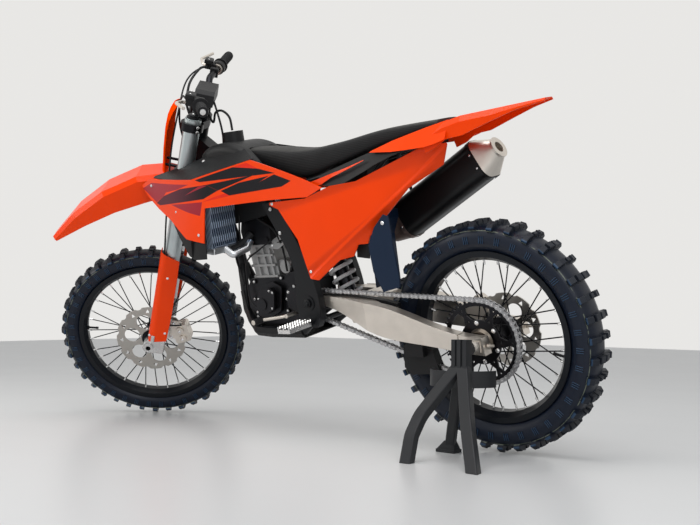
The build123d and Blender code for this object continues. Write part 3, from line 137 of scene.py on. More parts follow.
def make(tree, kind, inputs=None, out=0, **settings):
    """Any node: settings by attribute, inputs by name or index, one output back."""
    node = tree.nodes.new(kind)
    for name, value in settings.items():
        setattr(node, name, value)
    for name, value in (inputs or {}).items():
        plug(tree, node.inputs[name], value)
    return Sock(tree, node.outputs[out])


def mix(tree, factor, a, b):
    """Colour a where factor is 0, b where it is 1."""
    node = tree.nodes.new("ShaderNodeMix")
    node.data_type = "RGBA"
    plug(tree, node.inputs["Factor"], factor)
    for slot, value in (("A", a), ("B", b)):
        socket = next(s for s in node.inputs if s.name == slot and s.type == "RGBA")
        plug(tree, socket, value if isinstance(value, Sock) else (*value, 1))
    return Sock(tree, next(s for s in node.outputs if s.type == "RGBA"))


class Paint:
    """A material in the making: its tree, its shader and its places on the bike."""

    def __init__(self, name, colour, rough, metal=0.0, coat=0.0, spec=0.5):
        self.material = bpy.data.materials.new(name)
        self.material.use_nodes = True
        self.tree = self.material.node_tree
        self.shader = next(n for n in self.tree.nodes if n.type == "BSDF_PRINCIPLED")
        self.colour = colour
        self.set("Base Color", (*colour, 1))
        self.set("Roughness", rough)
        self.set("Metallic", metal)
        self.set("Coat Weight", coat)
        self.set("Coat Roughness", 0.06)
        self.set("Specular IOR Level", spec)

    def set(self, name, value):
        plug(self.tree, self.shader.inputs[name], value)

    def make(self, kind, inputs=None, out=0, **settings):
        return make(self.tree, kind, inputs, out, **settings)

    def place(self):
        """Where the surface lies in the row frame, in metres."""
        return self.make("ShaderNodeTexCoord", out=3)

    def along(self, place, axis):
        """Distance along one axis of a millimetre frame: 0 for x, 1 for y, 2 for z."""
        back = place.inverted()
        return self.place().dot(back[axis][:3]) + back[axis][3]

    def noise(self, scale, detail=3.0, vector=None):
        vector = vector or self.place()
        return self.make("ShaderNodeTexNoise", {"Vector": vector, "Scale": scale, "Detail": detail})

    def bump(self, height, strength, distance=0.001, edge=0.0):
        inputs = {"Height": height, "Strength": strength, "Distance": distance}
        if edge:
            inputs["Normal"] = self.make("ShaderNodeBevel", {"Radius": edge}, samples=3)
        self.set("Normal", self.make("ShaderNodeBump", inputs))

    def cloud(self, share, scale=9.0):
        """Base colour that drifts a little over the surface."""
        dark = tuple(c * (1 - share) for c in self.colour)
        light = tuple(min(1, c * (1 + share)) for c in self.colour)
        return mix(self.tree, self.noise(scale), dark, light)


def past_line(x, z, start, end):
    """Distance in mm to the left of the line from one (x, z) point to another."""
    dx, dz = end[0] - start[0], end[1] - start[1]
    long = math.hypot(dx, dz)
    return z * (dx / long) - x * (dz / long) + (start[0] * dz - start[1] * dx) / long


def inside(x, z, corners, soft=0.8):
    """1 inside a convex outline of (x, z) corners, 0 outside."""
    edges = list(zip(corners, corners[1:] + corners[:1]))
    turn = math.copysign(1, sum(a[0] * b[1] - b[0] * a[1] for a, b in edges))
    share = None
    for a, b in edges:
        side = (past_line(x, z, a, b) * turn).above(0.0, soft)
        share = side if share is None else share * side
    return share


# ------------------------------ finishes
FINE_EDGE, COATED_EDGE, WIDE_EDGE = 0.0012, 0.0014, 0.0015     # rounding of edges in metres


def moulded(name, colour, rough, coat=0.0, grain=900.0, depth=0.1, spec=0.22):
    """Moulded plastic: a faint grain and a slight waviness of the sheen."""
    paint = Paint(name, colour, rough, coat=coat, spec=spec)
    paint.set("Base Color", paint.cloud(0.05))
    paint.set("Roughness", paint.noise(14.0) * 0.12 + (rough - 0.06))
    paint.bump(paint.noise(grain, 2.0), depth, edge=WIDE_EDGE)
    return paint.material


def metal(name, colour, rough, grain=260.0, depth=0.08):
    """Bare or coated metal with a fine uneven finish."""
    paint = Paint(name, colour, rough, metal=1.0)
    paint.set("Base Color", paint.cloud(0.12, 24.0))
    paint.set("Roughness", paint.noise(30.0) * 0.15 + (rough - 0.075))
    paint.bump(paint.noise(grain, 4.0), depth, edge=FINE_EDGE)
    return paint.material


def brushed(name, colour, rough, stretch):
    """Metal with a fine drawn grain."""
    paint = Paint(name, colour, rough, metal=1.0)
    lines = paint.make("ShaderNodeVectorMath", {0: paint.place(), 1: stretch}, operation="MULTIPLY")
    grain = paint.noise(1.0, 4.0, lines)
    paint.set("Base Color", paint.cloud(0.08, 12.0))
    paint.set("Roughness", grain * 0.2 + (rough - 0.1))
    paint.bump(grain, 0.12, edge=FINE_EDGE)
    return paint.material


def coated(name, colour, rough):
    """Powder coat: dielectric, lightly pebbled."""
    paint = Paint(name, colour, rough, spec=0.25)
    paint.set("Base Color", paint.cloud(0.15))
    paint.set("Roughness", paint.noise(20.0) * 0.14 + (rough - 0.07))
    paint.bump(paint.noise(1100.0, 2.0), 0.12, edge=COATED_EDGE)
    return paint.material


def rubber(name, colour, rough):
    paint = Paint(name, colour, rough, spec=0.22)
    paint.set("Base Color", paint.cloud(0.25, 12.0))
    paint.set("Roughness", paint.noise(22.0) * 0.2 + (rough - 0.1))
    paint.bump(paint.noise(700.0, 3.0), 0.12, edge=FINE_EDGE)
    return paint.material


def tyre_rubber(name, place, radius, stripe, wide):
    """New tyre: bluish black, with a thin stripe at one radius and a painted highlight on the tops of its side
    ribs.
    """
    paint = Paint(name, (0.006, 0.009, 0.016), 0.42, spec=0.3)
    x, z = paint.along(place, 0), paint.along(place, 2)
    # Mask of the side ribs' tops, which get a painted highlight further down.
    ribs = abs(paint.along(place, 1)).above(wide / 2 - 4.2, 0.3)
    out = (x * x + z * z).of("SQRT")
    tread = out.above(radius - 16, 2.0)
    line = (1 - abs(out - stripe).above(1.0, 0.35)) * paint.noise(40.0).above(0.46, 0.06)
    colour = mix(paint.tree, tread, (0.004, 0.008, 0.019), (0.009, 0.012, 0.019))
    # Painted highlight: pale blue on the side ribs' tops, standing in for window light caught on them.
    colour = mix(paint.tree, ribs * (1 - tread), colour, (0.02, 0.05, 0.1))
    paint.set("Base Color", mix(paint.tree, line * 0.55, colour, (0.25, 0.28, 0.2)))
    paint.set("Roughness", tread * 0.14 + paint.noise(18.0) * 0.16 + 0.3)
    rings = (out * 1.6).of("SINE") * (1 - tread)
    paint.bump(paint.noise(600.0, 3.0) * 0.7 + rings * 0.12, 0.16, edge=FINE_EDGE)
    return paint.material


def wing_film():
    """Shroud colours: slashes of black, maroon and crimson on the moulded orange."""
    paint = Paint("wing_film", ORANGE, 0.25, coat=0.12, spec=0.22)
    x, z = paint.along(BIKE, 0), paint.along(BIKE, 2)
    fade = x.above(940.0, 90.0)
    colour = paint.cloud(0.05)
    black, maroon = (0.008, 0.007, 0.009), (0.085, 0.006, 0.018)
    crimson, red = (0.36, 0.018, 0.03), (0.78, 0.025, 0.008)
    night = mix(paint.tree, fade, black, maroon)
    for tint, corners in (
        (crimson, [(1212, 890), (1153, 905), (1030, 893), (1075, 857), (1126, 838)]),
        (crimson, [(1075, 857), (1030, 893), (893, 881), (994, 873)]),
        (crimson, [(1035, 826), (883, 824), (895, 781), (945, 795)]),
        (red, [(883, 824), (836, 836), (764, 849), (790, 832)]),
        (night, [(906, 896), (768, 921), (684, 906), (625, 885), (887, 888)]),
        (red, [(768, 921), (722, 929), (684, 906)]),
        (night, [(1104, 827), (1127, 836), (1075, 857), (979, 874), (863, 877), (824, 854), (877, 833)]),
        (night, [(863, 877), (696, 888), (824, 854)]),
        (night, [(786, 834), (814, 852), (752, 870), (628, 881), (570, 855), (605, 841)]),
        (crimson, [(956, 851), (889, 876), (861, 874)]),
        (ORANGE, [(678, 865), (625, 883), (645, 880)]),
    ):
        colour = mix(paint.tree, inside(x, z, corners), colour, tint)
    paint.set("Base Color", colour)
    paint.set("Roughness", paint.noise(14.0) * 0.1 + 0.2)
    paint.bump(paint.noise(900.0, 2.0), 0.05, edge=WIDE_EDGE)
    return paint.material


PANEL_FOLDS = (      # the fold's two ends (x, z), half its width, its rise
    ((690, 772), (144, 872), 26.0, 1.0),
    ((366, 640), (219, 762), 30.0, 0.9),
    ((219, 756), (63, 850), 20.0, 0.8),
    ((510, 568), (278, 735), 7.0, -0.35),
    ((420, 560), (250, 700), 34.0, 0.7),
)


def panel_plastic():
    """Side panel orange with its long soft folds."""
    paint = Paint("panel_plastic", ORANGE, 0.28, coat=0.1, spec=0.15)
    x, z = paint.along(BIKE, 0), paint.along(BIKE, 2)
    height = 0.0
    for start, end, half, rise in PANEL_FOLDS:
        height = (past_line(x, z, start, end) * -1).above(0.0, half) * rise + height
    paint.set("Base Color", paint.cloud(0.04))
    paint.set("Roughness", paint.noise(14.0) * 0.1 + 0.2)
    paint.bump(height, 1.0, distance=0.02, edge=WIDE_EDGE)
    return paint.material


def seat_cover():
    """Grip cover: fine ribs along the sides and a pebbled top."""
    paint = Paint("seat_cover", (0.02, 0.02, 0.022), 0.6, spec=0.22)
    side, up = abs(paint.along(BIKE, 1)), paint.along(BIKE, 2)
    flank = side.above(62.0, 3.0)
    ribs = (up * 1.25 + paint.noise(7.0) * 3.0).of("SINE")
    paint.set("Base Color", mix(paint.tree, flank, (0.03, 0.029, 0.027), (0.009, 0.009, 0.0095)))
    paint.set("Roughness", paint.noise(30.0) * 0.2 + 0.5)
    paint.bump(ribs * flank * 0.5 + paint.noise(1500.0, 3.0) * 0.6, 0.5)
    return paint.material


def silencer_skin():
    """Satin black can whose front band is bare grey-brown metal."""
    paint = Paint("silencer_skin", (0.012, 0.012, 0.013), 0.35, metal=0.6)
    x, z = paint.along(BIKE, 0), paint.along(BIKE, 2)
    back = (x - SILENCER_AT[0]) * -math.cos(SILENCER_TILT) + (z - SILENCER_AT[2]) * math.sin(SILENCER_TILT)
    band = 1 - back.above(74.0, 0.6)
    paint.set("Base Color", mix(paint.tree, band, (0.013, 0.013, 0.014), (0.16, 0.115, 0.1)))
    paint.set("Roughness", paint.noise(18.0) * 0.12 + 0.3)
    paint.bump(paint.noise(900.0, 2.0), 0.08, edge=FINE_EDGE)
    return paint.material


def header_pipe():
    """Bent steel pipe with its heat colours."""
    paint = Paint("header_pipe", (0.4, 0.36, 0.3), 0.3, metal=1.0)
    warm = paint.along(BIKE, 0).above(820.0, 120.0) + paint.noise(10.0) * 0.4 - 0.2
    paint.set("Base Color", mix(paint.tree, warm, (0.42, 0.37, 0.3), (0.24, 0.17, 0.2)))
    paint.set("Roughness", paint.noise(30.0) * 0.15 + 0.22)
    paint.bump(paint.noise(300.0, 3.0), 0.06)
    return paint.material


def radiator_core():
    """Louvred core with fine upright lines: painted pale blue highlights on the fins and painted shade in the gaps
    between them; the pipe under it is bare alloy.
    """
    paint = Paint("radiator_core", (0.4, 0.5, 0.64), 0.4, metal=0.3)
    line = (paint.along(BIKE, 0) * 0.95).of("SINE")
    core = paint.along(BIKE, 2).above(667.0, 3.0)
    # Painted light: the pale blue lines stand in for window light on the fins, the dark ones for shade between
    # them.
    lines = mix(paint.tree, line.above(0.15, 0.4), (0.03, 0.045, 0.08), (0.5, 0.6, 0.74))
    paint.set("Base Color", mix(paint.tree, core, (0.6, 0.62, 0.64), lines))
    paint.set("Metallic", 1 - core * 0.7)
    paint.set("Roughness", paint.noise(30.0) * 0.15 + 0.25)
    paint.bump(line * core, 0.5)
    return paint.material


ORANGE = (0.95, 0.056, 0.0005)
BLACK = (0.011, 0.011, 0.0115)
finishes = {
    "orange_plastic": moulded("orange_plastic", ORANGE, 0.3, coat=0.08, grain=700, depth=0.03, spec=0.12),
    "plate_plastic": moulded("plate_plastic", ORANGE, 0.7, spec=0.0),
    "panel_plastic": panel_plastic(),
    "graphic_plastic": wing_film(),
    "black_plastic": moulded("black_plastic", BLACK, 0.46, grain=1400, depth=0.25),
    "seat_cover": seat_cover(),
    "front_rubber": tyre_rubber("front_rubber", FRONT_WHEEL, FRONT_R, 322, FRONT_WIDE),
    "rear_rubber": tyre_rubber("rear_rubber", REAR_WHEEL, REAR_R, 313, REAR_WIDE),
    "grip_rubber": rubber("grip_rubber", (0.014, 0.014, 0.015), 0.62),
    "frame_paint": coated("frame_paint", (0.0055, 0.006, 0.0075), 0.36),
    "rim_paint": coated("rim_paint", (0.004, 0.0055, 0.0085), 0.3),
    "flap_plastic": moulded("flap_plastic", (0.004, 0.015, 0.04), 0.42),
    "stand_paint": coated("stand_paint", (0.021, 0.022, 0.024), 0.42),
    "black_alloy": metal("black_alloy", (0.022, 0.022, 0.025), 0.34),
    "raw_alloy": metal("raw_alloy", (0.68, 0.63, 0.57), 0.4, grain=420, depth=0.2),
    "fork_alloy": metal("fork_alloy", (0.5, 0.55, 0.56), 0.42),
    "engine_alloy": metal("engine_alloy", (0.03, 0.03, 0.033), 0.42, grain=500, depth=0.2),
    "cylinder_alloy": metal("cylinder_alloy", (0.36, 0.36, 0.36), 0.5, grain=500, depth=0.25),
    "steel": metal("steel", (0.62, 0.62, 0.62), 0.28),
    "bright_steel": metal("bright_steel", (0.8, 0.8, 0.8), 0.2, grain=600, depth=0.04),
    "disc_steel": brushed("disc_steel", (0.45, 0.43, 0.4), 0.34, (400, 400, 400)),
    "chain_steel": metal("chain_steel", (0.4, 0.4, 0.41), 0.33, grain=900, depth=0.1),
    "exhaust_steel": header_pipe(),
    "silencer_skin": silencer_skin(),
    "radiator_alloy": radiator_core(),
    "spring_steel": coated("spring_steel", (0.72, 0.72, 0.72), 0.3),
    "red_coat": coated("red_coat", (0.5, 0.02, 0.02), 0.3),
    "pale_print": coated("pale_print", (0.62, 0.62, 0.6), 0.4),
    "dark_print": moulded("dark_print", (0.018, 0.018, 0.02), 0.3, coat=0.3),
    "hub_bronze": metal("hub_bronze", (0.1, 0.085, 0.07), 0.3),
}
OWN_FINISH = {
    "radiator_shrouds": "graphic_plastic", "silencer": "silencer_skin",
    "side_panels": "panel_plastic", "mud_flap": "flap_plastic",
    "front_rim": "rim_paint", "rear_rim": "rim_paint",
    "front_disc": "disc_steel", "rear_disc": "disc_steel", "rear_hub": "black_alloy",
}
slots = {s["node"]: s["material_slot"] for s in frame["record"]["subparts"]}
# The tyres' own solids have a slot without a finish here: treads replace them further down.
for name, node in frame["nodes"].items():
    node.data.materials.clear()
    finish = OWN_FINISH.get(name, slots[name])
    node.data.materials.append(finishes[finish if finish in finishes else "front_rubber"])


# ------------------------------ forms
SMOOTH_BELOW = math.radians(38)       # faces that meet at less than this are shaded as one


def square_to(along):
    """Two directions square to a third, and the third itself."""
    z = Vector(along).normalized()
    x = z.orthogonal().normalized()
    return x, z.cross(x), z


class Form:
    """One piece's mesh, put together from turned, drawn and bent forms in a millimetre frame."""

    def __init__(self, place):
        self.place = place
        self.mesh = bmesh.new()

    def skin(self, rings, capped=True, looped=False):
        """Skin over rings of points with the same count."""
        rows = [[self.mesh.verts.new(self.place @ Vector(p)) for p in ring] for ring in rings]
        pairs = list(zip(rows, rows[1:]))
        if looped:
            pairs.append((rows[-1], rows[0]))
        for low, high in pairs:
            for i in range(len(low)):
                j = (i + 1) % len(low)
                self.mesh.faces.new((low[i], low[j], high[j], high[i]))
        if capped and not looped:
            self.mesh.faces.new(rows[0][::-1])
            self.mesh.faces.new(rows[-1])

    def turned(self, at, along, profile, sides=24):
        """Solid of revolution from (distance, radius) pairs along a direction."""
        x, y, z = square_to(along)
        at = Vector(at)
        self.skin([
            [at + z * d + (x * math.cos(a) + y * math.sin(a)) * r
             for a in (2 * math.pi * i / sides for i in range(sides))]
            for d, r in profile
        ])

    def bolt(self, at, along, size):
        """Flanged hexagon head."""
        self.turned(at, along, [(-1, size * 1.5), (size * 0.3, size * 1.5), (size * 0.4, size * 1.3)], 16)
        self.turned(at, along, [(0, size), (size * 0.9, size), (size * 1.1, size * 0.8)], 6)

    def screw(self, at, along, size):
        """Round head with a hexagon socket."""
        self.turned(at, along, [(-1, size), (size * 0.6, size), (size * 0.8, size * 0.8)], 16)
        self.turned(at, along, [(size * 0.5, size * 0.45), (size * 0.82, size * 0.45)], 6)

    def plate(self, outline, y0, y1):
        """Slab between two Y values with an (x, z) outline."""
        self.skin([[(x, y, z) for x, z in outline] for y in (y0, y1)])

    def block(self, centre, axes, size, inset=1.0):
        """Box on three axes whose outer end is a little smaller, as moulded blocks are."""
        centre = Vector(centre)
        u, v, w = (Vector(a) for a in axes)
        a, b, c = (s / 2 for s in size)
        rings = []
        for reach, cut in ((-c, 0), (c - inset, 0), (c, inset)):
            rings.append([
                centre + u * (sa * (a - cut)) + v * (sb * (b - cut)) + w * reach
                for sa, sb in ((-1, -1), (1, -1), (1, 1), (-1, 1))
            ])
        self.skin(rings)

    def tube(self, points, radius, sides=12, steps=8):
        """Round hose through the points on a smooth line."""
        line = smooth_line([Vector(p) for p in points], steps)
        ahead = (line[1] - line[0]).normalized()
        across = ahead.orthogonal().normalized()
        rings = []
        for i, spot in enumerate(line):
            ahead = (line[min(i + 1, len(line) - 1)] - line[max(i - 1, 0)]).normalized()
            across = (across - ahead * across.dot(ahead)).normalized()
            other = ahead.cross(across)
            rings.append([
                spot + (across * math.cos(a) + other * math.sin(a)) * radius
                for a in (2 * math.pi * k / sides for k in range(sides))
            ])
        self.skin(rings)

    def done(self, name, body, finish):
        """The piece itself, with its finish, on a body (None leaves it on no body)."""
        bmesh.ops.recalc_face_normals(self.mesh, faces=self.mesh.faces)
        for edge in self.mesh.edges:
            edge.smooth = edge.calc_face_angle(0.0) < SMOOTH_BELOW
        for face in self.mesh.faces:
            face.smooth = True
        data = bpy.data.meshes.new(name)
        self.mesh.to_mesh(data)
        self.mesh.free()
        piece = bpy.data.objects.new(name, data)
        bpy.context.collection.objects.link(piece)
        piece.data.materials.append(finishes[finish])
        if body:
            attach(piece, body)
        return piece


def smooth_line(points, steps):
    """Catmull-Rom line through the points."""
    ends = [points[0] * 2 - points[1], *points, points[-1] * 2 - points[-2]]
    line = []
    for a, b, c, d in zip(ends, ends[1:], ends[2:], ends[3:]):
        for i in range(steps):
            t = i / steps
            bend = (2 * a - 5 * b + 4 * c - d) * t * t + (3 * b - a - 3 * c + d) * t ** 3
            line.append(0.5 * (2 * b + (c - a) * t + bend))
    return line + [points[-1]]


def turned_piece(name, place, body, finish, turns):
    """Piece of turned forms: (point, direction, profile, sides) each."""
    form = Form(place)
    for at, along, profile, sides in turns:
        form.turned(at, along, profile, sides)
    return form.done(name, body, finish)


def hose_piece(name, lines):
    """Rubber hoses on the chassis: (points, radius, sides) each."""
    form = Form(BIKE)
    for points, radius, sides in lines:
        form.tube(points, radius, sides)
    return form.done(name, "chassis", "grip_rubber")


def plate_piece(name, finish, outline, y0, y1):
    """Flat plate on the chassis between two Y values."""
    form = Form(BIKE)
    form.plate(outline, y0, y1)
    return form.done(name, "chassis", finish)


def fasteners(name, place, body, finish, spots):
    """Bolts and screws: (kind, point, direction, size) each."""
    form = Form(place)
    for kind, at, along, size in spots:
        getattr(form, kind)(at, along, size)
    return form.done(name, body, finish)


def facing(kind, y, size, places, way=LEFT):
    """The same fastener at each (x, z) place of one side."""
    return [(kind, (x, y, z), way, size) for x, z in places]


def paired(kind, y, size, places):
    """The same fastener on both sides at each (x, z) place."""
    return [(kind, (x, s * y, z), (0, s, 0), size) for x, z in places for s in SIDES]


def ring_of(count, radius, start=0.0):
    """Evenly spaced (x, z) places on a circle, the first at an angle in degrees."""
    turns = [math.radians(start + 360 * i / count) for i in range(count)]
    return [(math.cos(a) * radius, math.sin(a) * radius) for a in turns]


# ------------------------------ tyres
CARCASS_STEPS = 144
LUG_LONG = 19.0        # tread blocks' length along the tread
LUG_ROOT = 6.0         # how far a block reaches into the carcass
# Blocks across the tread: place and tilt, drop below the tyre's radius, width, length.
# Places and widths are shares of the tyre's width, lengths are shares of LUG_LONG.
ODD_ROW = [(s * 0.13, s * 6, 1, 0.2, 1.0) for s in SIDES]
EVEN_ROW = [(s * 0.26, s * 17, 5, 0.17, 0.85) for s in SIDES] + [(0, 0, 3, 0.14, 0.6)]
SHOULDER_WIDE, SHOULDER_LONG = 21, 0.95
RIB_GAP = 0.12         # between a sidewall group's ribs, as a share of a row


def tyre_side(half, crown, rim_r, rim_w):
    """One side of the carcass from the bead to the crown, as (y, radius) pairs."""
    wall = crown - rim_r
    bead = rim_w / 2 - 4
    return [
        (bead, rim_r + 0.5), (bead, rim_r + 12), (bead + 3, rim_r + 15), (half * 0.9, rim_r + 0.33 * wall),
        (half, rim_r + 0.55 * wall), (half * 0.95, crown - 0.24 * wall), (half * 0.8, crown - 0.12 * wall),
        (half * 0.58, crown - 0.04 * wall), (half * 0.3, crown),
    ]


def lug_block(form, angle, y, tilt, top, size, inset=1.2):
    """Block at an angle round the tyre, its top at a radius, leaning outward by tilt degrees."""
    lean = math.radians(tilt)
    outward = Vector((math.cos(angle), 0, math.sin(angle)))
    around = Vector((-math.sin(angle), 0, math.cos(angle)))
    across = Vector(LEFT) * math.cos(lean) - outward * math.sin(lean)
    up = outward * math.cos(lean) + Vector(LEFT) * math.sin(lean)
    tip = outward * top + Vector((0, y, 0))
    form.block(tip - up * size[2] / 2, (across, around, up), size, inset)


def knobbly(name, node, body, place, finish, outer, width, rim_r, rim_w, lug, rows):
    """Tyre: a round carcass, rows of centre and shoulder blocks and ribs on its sidewalls."""
    form = Form(place)
    crown = outer - lug
    wall = crown - rim_r
    half = width / 2 - 5
    side = tyre_side(half, crown, rim_r, rim_w)
    profile = side + [(-y, r) for y, r in reversed(side)]
    form.skin([
        [(math.cos(a) * r, y, math.sin(a) * r) for y, r in profile]
        for a in (2 * math.pi * i / CARCASS_STEPS for i in range(CARCASS_STEPS))
    ], looped=True)
    step = 2 * math.pi / rows
    deep = lug + LUG_ROOT
    for i in range(rows):
        angle = i * step
        for share, tilt, drop, wide, long in (ODD_ROW if i % 2 else EVEN_ROW):
            size = (wide * width, long * LUG_LONG, deep)
            lug_block(form, angle, share * width, tilt, outer - drop, size)
        shoulder_top = outer - (10 if i % 2 else 13)
        for s in SIDES:
            size = (SHOULDER_WIDE, SHOULDER_LONG * LUG_LONG, deep)
            lug_block(form, angle, s * (width / 2 - 8), s * 44, shoulder_top, size)
            for k in (-1, 0, 1):
                turn = angle + (0.5 + RIB_GAP * k) * step
                lug_block(form, turn, s * (half + 1.6), s * 87, crown - 0.44 * wall, (22, 2.2, 6), 0.5)
    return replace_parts(form.done(name, body, finish), node)


knobbly("front_tread", "front_tyre", "front_wheel", FRONT_WHEEL, "front_rubber",
        outer=FRONT_R, width=FRONT_WIDE, rim_r=266.0, rim_w=50.0, lug=13.0, rows=40)
knobbly("rear_tread", "rear_tyre", "rear_wheel", REAR_WHEEL, "rear_rubber",
        outer=REAR_R, width=REAR_WIDE, rim_r=241.0, rim_w=64.0, lug=16.0, rows=36)


# ------------------------------ wheels
SPOKES = 36
NIPPLE = [(0, 2.4), (3, 3.2), (11, 3.2), (14.6, 4.2)]
VALVE = [(0, 7), (4, 7), (4.5, 4), (30, 4), (30.5, 4.8), (38, 4.8), (39, 3)]


def wheel_fittings(body, place, bed, disc_y, disc_bore, valve_turn):
    """Spoke nipples and a valve in the rim's bed, and the disc's bolts."""
    nipples = []
    for i, (x, z) in enumerate(ring_of(SPOKES, 1.0)):
        out = Vector((x, 0, z))
        foot = out * (bed - 15) + Vector((0, 5.4 if i % 2 else -5.4, 0))
        nipples.append((foot, out, NIPPLE, 8))
    turned_piece(body + "_nipples", place, body, "bright_steel", nipples)
    (x, z), = ring_of(1, 1.0, valve_turn)
    out = Vector((x, 0, z))
    turned_piece(body + "_valve", place, body, "grip_rubber", [(out * (bed + 1), -out, VALVE, 12)])
    way = (0, math.copysign(1, disc_y), 0)
    fasteners(body + "_bolts", place, body, "bright_steel",
              facing("bolt", disc_y, 3.6, ring_of(6, disc_bore + 7), way))


wheel_fittings("front_wheel", FRONT_WHEEL, bed=249, disc_y=60, disc_bore=36, valve_turn=-8)
wheel_fittings("rear_wheel", REAR_WHEEL, bed=224, disc_y=-76, disc_bore=31, valve_turn=195)
fasteners("sprocket_bolts", REAR_WHEEL, "rear_wheel", "bright_steel",
          facing("bolt", 78, 4.4, ring_of(6, 56, 24)))
turned_piece("hub_ring", REAR_WHEEL, "rear_wheel", "hub_bronze",
             [((0, 78, 0), LEFT, [(0, 40), (0.6, 40), (9, 33), (9.5, 21), (15, 20.5)], 40)])


# ------------------------------ chain
PITCH = 15.875
REAR_PITCH_R = PITCH / 2 / math.sin(math.pi / 48)
FRONT_PITCH_R = PITCH / 2 / math.sin(math.pi / 13)
CHAIN_Y = 75.0
REAR_AXLE = Vector((0, REAR_R))
COUNTERSHAFT = Vector((655, 471))
INNER_PLATE, OUTER_PLATE = (3.8, 5.7), (6.1, 8.0)    # the plates' faces, out from the chain's middle
INNER_ROUND, OUTER_ROUND, WAIST = 7.1, 6.5, 4.6


def chain_pins():
    """Pins (x, z) of the whole chain, one pitch apart."""
    span = COUNTERSHAFT - REAR_AXLE
    tilt = math.atan2(span.y, span.x)
    wrap = math.asin((REAR_PITCH_R - FRONT_PITCH_R) / span.length)
    run = span.length * math.cos(wrap)
    rear_arc = REAR_PITCH_R * (math.pi + 2 * wrap)
    front_arc = FRONT_PITCH_R * (math.pi - 2 * wrap)
    total = 2 * run + rear_arc + front_arc
    up, down = tilt + math.pi / 2 - wrap, tilt - math.pi / 2 + wrap

    def turn(angle):
        return Vector((math.cos(angle), math.sin(angle)))

    count = 2 * round(total / PITCH / 2)
    pins = []
    for i in range(count):
        travel = total * i / count
        if travel < run:
            pins.append(REAR_AXLE + turn(up) * REAR_PITCH_R + turn(up - math.pi / 2) * travel)
        elif travel < run + front_arc:
            pins.append(COUNTERSHAFT + turn(up - (travel - run) / FRONT_PITCH_R) * FRONT_PITCH_R)
        elif travel < 2 * run + front_arc:
            foot = COUNTERSHAFT + turn(down) * FRONT_PITCH_R
            pins.append(foot + turn(down - math.pi / 2) * (travel - run - front_arc))
        else:
            angle = down - (travel - 2 * run - front_arc) / REAR_PITCH_R
            pins.append(REAR_AXLE + turn(angle) * REAR_PITCH_R)
    return pins


def link_outline(a, b, big, waist):
    """Side of one link plate: round at each pin, drawn in between."""
    ahead = (b - a).normalized()
    side = Vector((-ahead.y, ahead.x))
    outline = []
    for centre, turn in ((b, 1), (a, -1)):
        for k in range(5):
            angle = math.pi / 2 - k * math.pi / 4
            outline.append(centre + (side * math.sin(angle) + ahead * math.cos(angle)) * big * turn)
        outline.append((a + b) / 2 - side * waist * turn)
    return [tuple(p) for p in outline]


def chain():
    pins = chain_pins()
    links = Form(BIKE)
    rollers = []
    for i, (a, b) in enumerate(zip(pins, pins[1:] + pins[:1])):
        near, far = OUTER_PLATE if i % 2 else INNER_PLATE
        outline = link_outline(a, b, OUTER_ROUND if i % 2 else INNER_ROUND, WAIST)
        for s in SIDES:
            links.plate(outline, CHAIN_Y + s * near, CHAIN_Y + s * far)
        rollers.append(((a.x, CHAIN_Y - 3.6, a.y), LEFT, [(0, 5.1), (7.2, 5.1)], 10))
        rollers.append(((a.x, CHAIN_Y - 8.8, a.y), LEFT, [(0, 2.4), (17.6, 2.4)], 8))
    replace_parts(links.done("chain_links", "chassis", "chain_steel"), "chain")
    turned_piece("chain_rollers", BIKE, "chassis", "steel", rollers)


chain()


# ------------------------------ seat
SEAT = [     # x, half width, underside, top
    (884, 40, 962, 984), (790, 66, 930, 972), (700, 74, 894, 960), (570, 80, 856, 944),
    (420, 82, 886, 952), (250, 78, 926, 971), (60, 62, 958, 976),
]
SQUARENESS = 0.42      # 1 is an ellipse, less is squarer
CROWN = 2.5            # the top's middle stands this far above its edges


def seat_ring(x, half, low, high, count=40):
    """Section of the seat: a crowned top, sides that draw in, a flat base."""
    ring = []
    for i in range(count):
        a = 2 * math.pi * i / count
        c, s = math.cos(a), math.sin(a)
        y = half * math.copysign(abs(c) ** SQUARENESS, c)
        z = (low + high) / 2 + (high - low) / 2 * math.copysign(abs(s) ** SQUARENESS, s)
        share = (z - low) / (high - low)
        y *= 1 - 0.1 * max(0.0, share - 0.55) - 0.03 * (1 - share)
        crown = CROWN * (1 - (y / half) ** 2) if s > 0 else 0.0
        ring.append((x, y, z - CROWN + crown))
    return ring


def padded_seat():
    form = Form(BIKE)
    stations = smooth_line([Vector(s[:3]) for s in SEAT], 10)
    highs = smooth_line([Vector((s[0], s[3], 0)) for s in SEAT], 10)
    form.skin([seat_ring(a.x, a.y, a.z, b.y) for a, b in zip(stations, highs)])
    seat = form.done("padded_seat", "chassis", "seat_cover")
    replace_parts(seat, "seat")


padded_seat()


# ------------------------------ bolts on the chassis
ENGINE_BOLTS = [
    *facing("bolt", 72, 3.0, [
        (737, 540), (724, 470), (728, 430), (862, 530), (872, 470), (868, 410), (808, 404)]),
    *facing("bolt", 100, 2.6, [(839, 432), (826, 476), (773, 503), (759, 497), (770, 444)]),
    *facing("bolt", 90, 3.2, [(697, 496), (652, 445), (668, 515)]),
    *facing("bolt", -108, 3.4, [(722 + x, 468 + z) for x, z in ring_of(6, 54, 15)], RIGHT),
    *facing("bolt", -110, 2.6, [(838 + x, 440 + z) for x, z in ring_of(3, 13)], RIGHT),
]
FRAME_BOLTS = paired("bolt", 120, 4.0, [(664, 694), (690, 772)]) + paired("bolt", 119, 4.0, [(600, 398)])
fasteners("engine_bolts", BIKE, "chassis", "steel", ENGINE_BOLTS)
fasteners("pivot_ends", BIKE, "chassis", "frame_paint", paired("bolt", 124, 9.0, [(590, 465)]))
fasteners("frame_bolts", BIKE, "chassis", "steel", FRAME_BOLTS)
fasteners("stay_bolts", BIKE, "chassis", "bright_steel", paired("screw", 64, 5.0, [(757, 649), (672, 694)]))

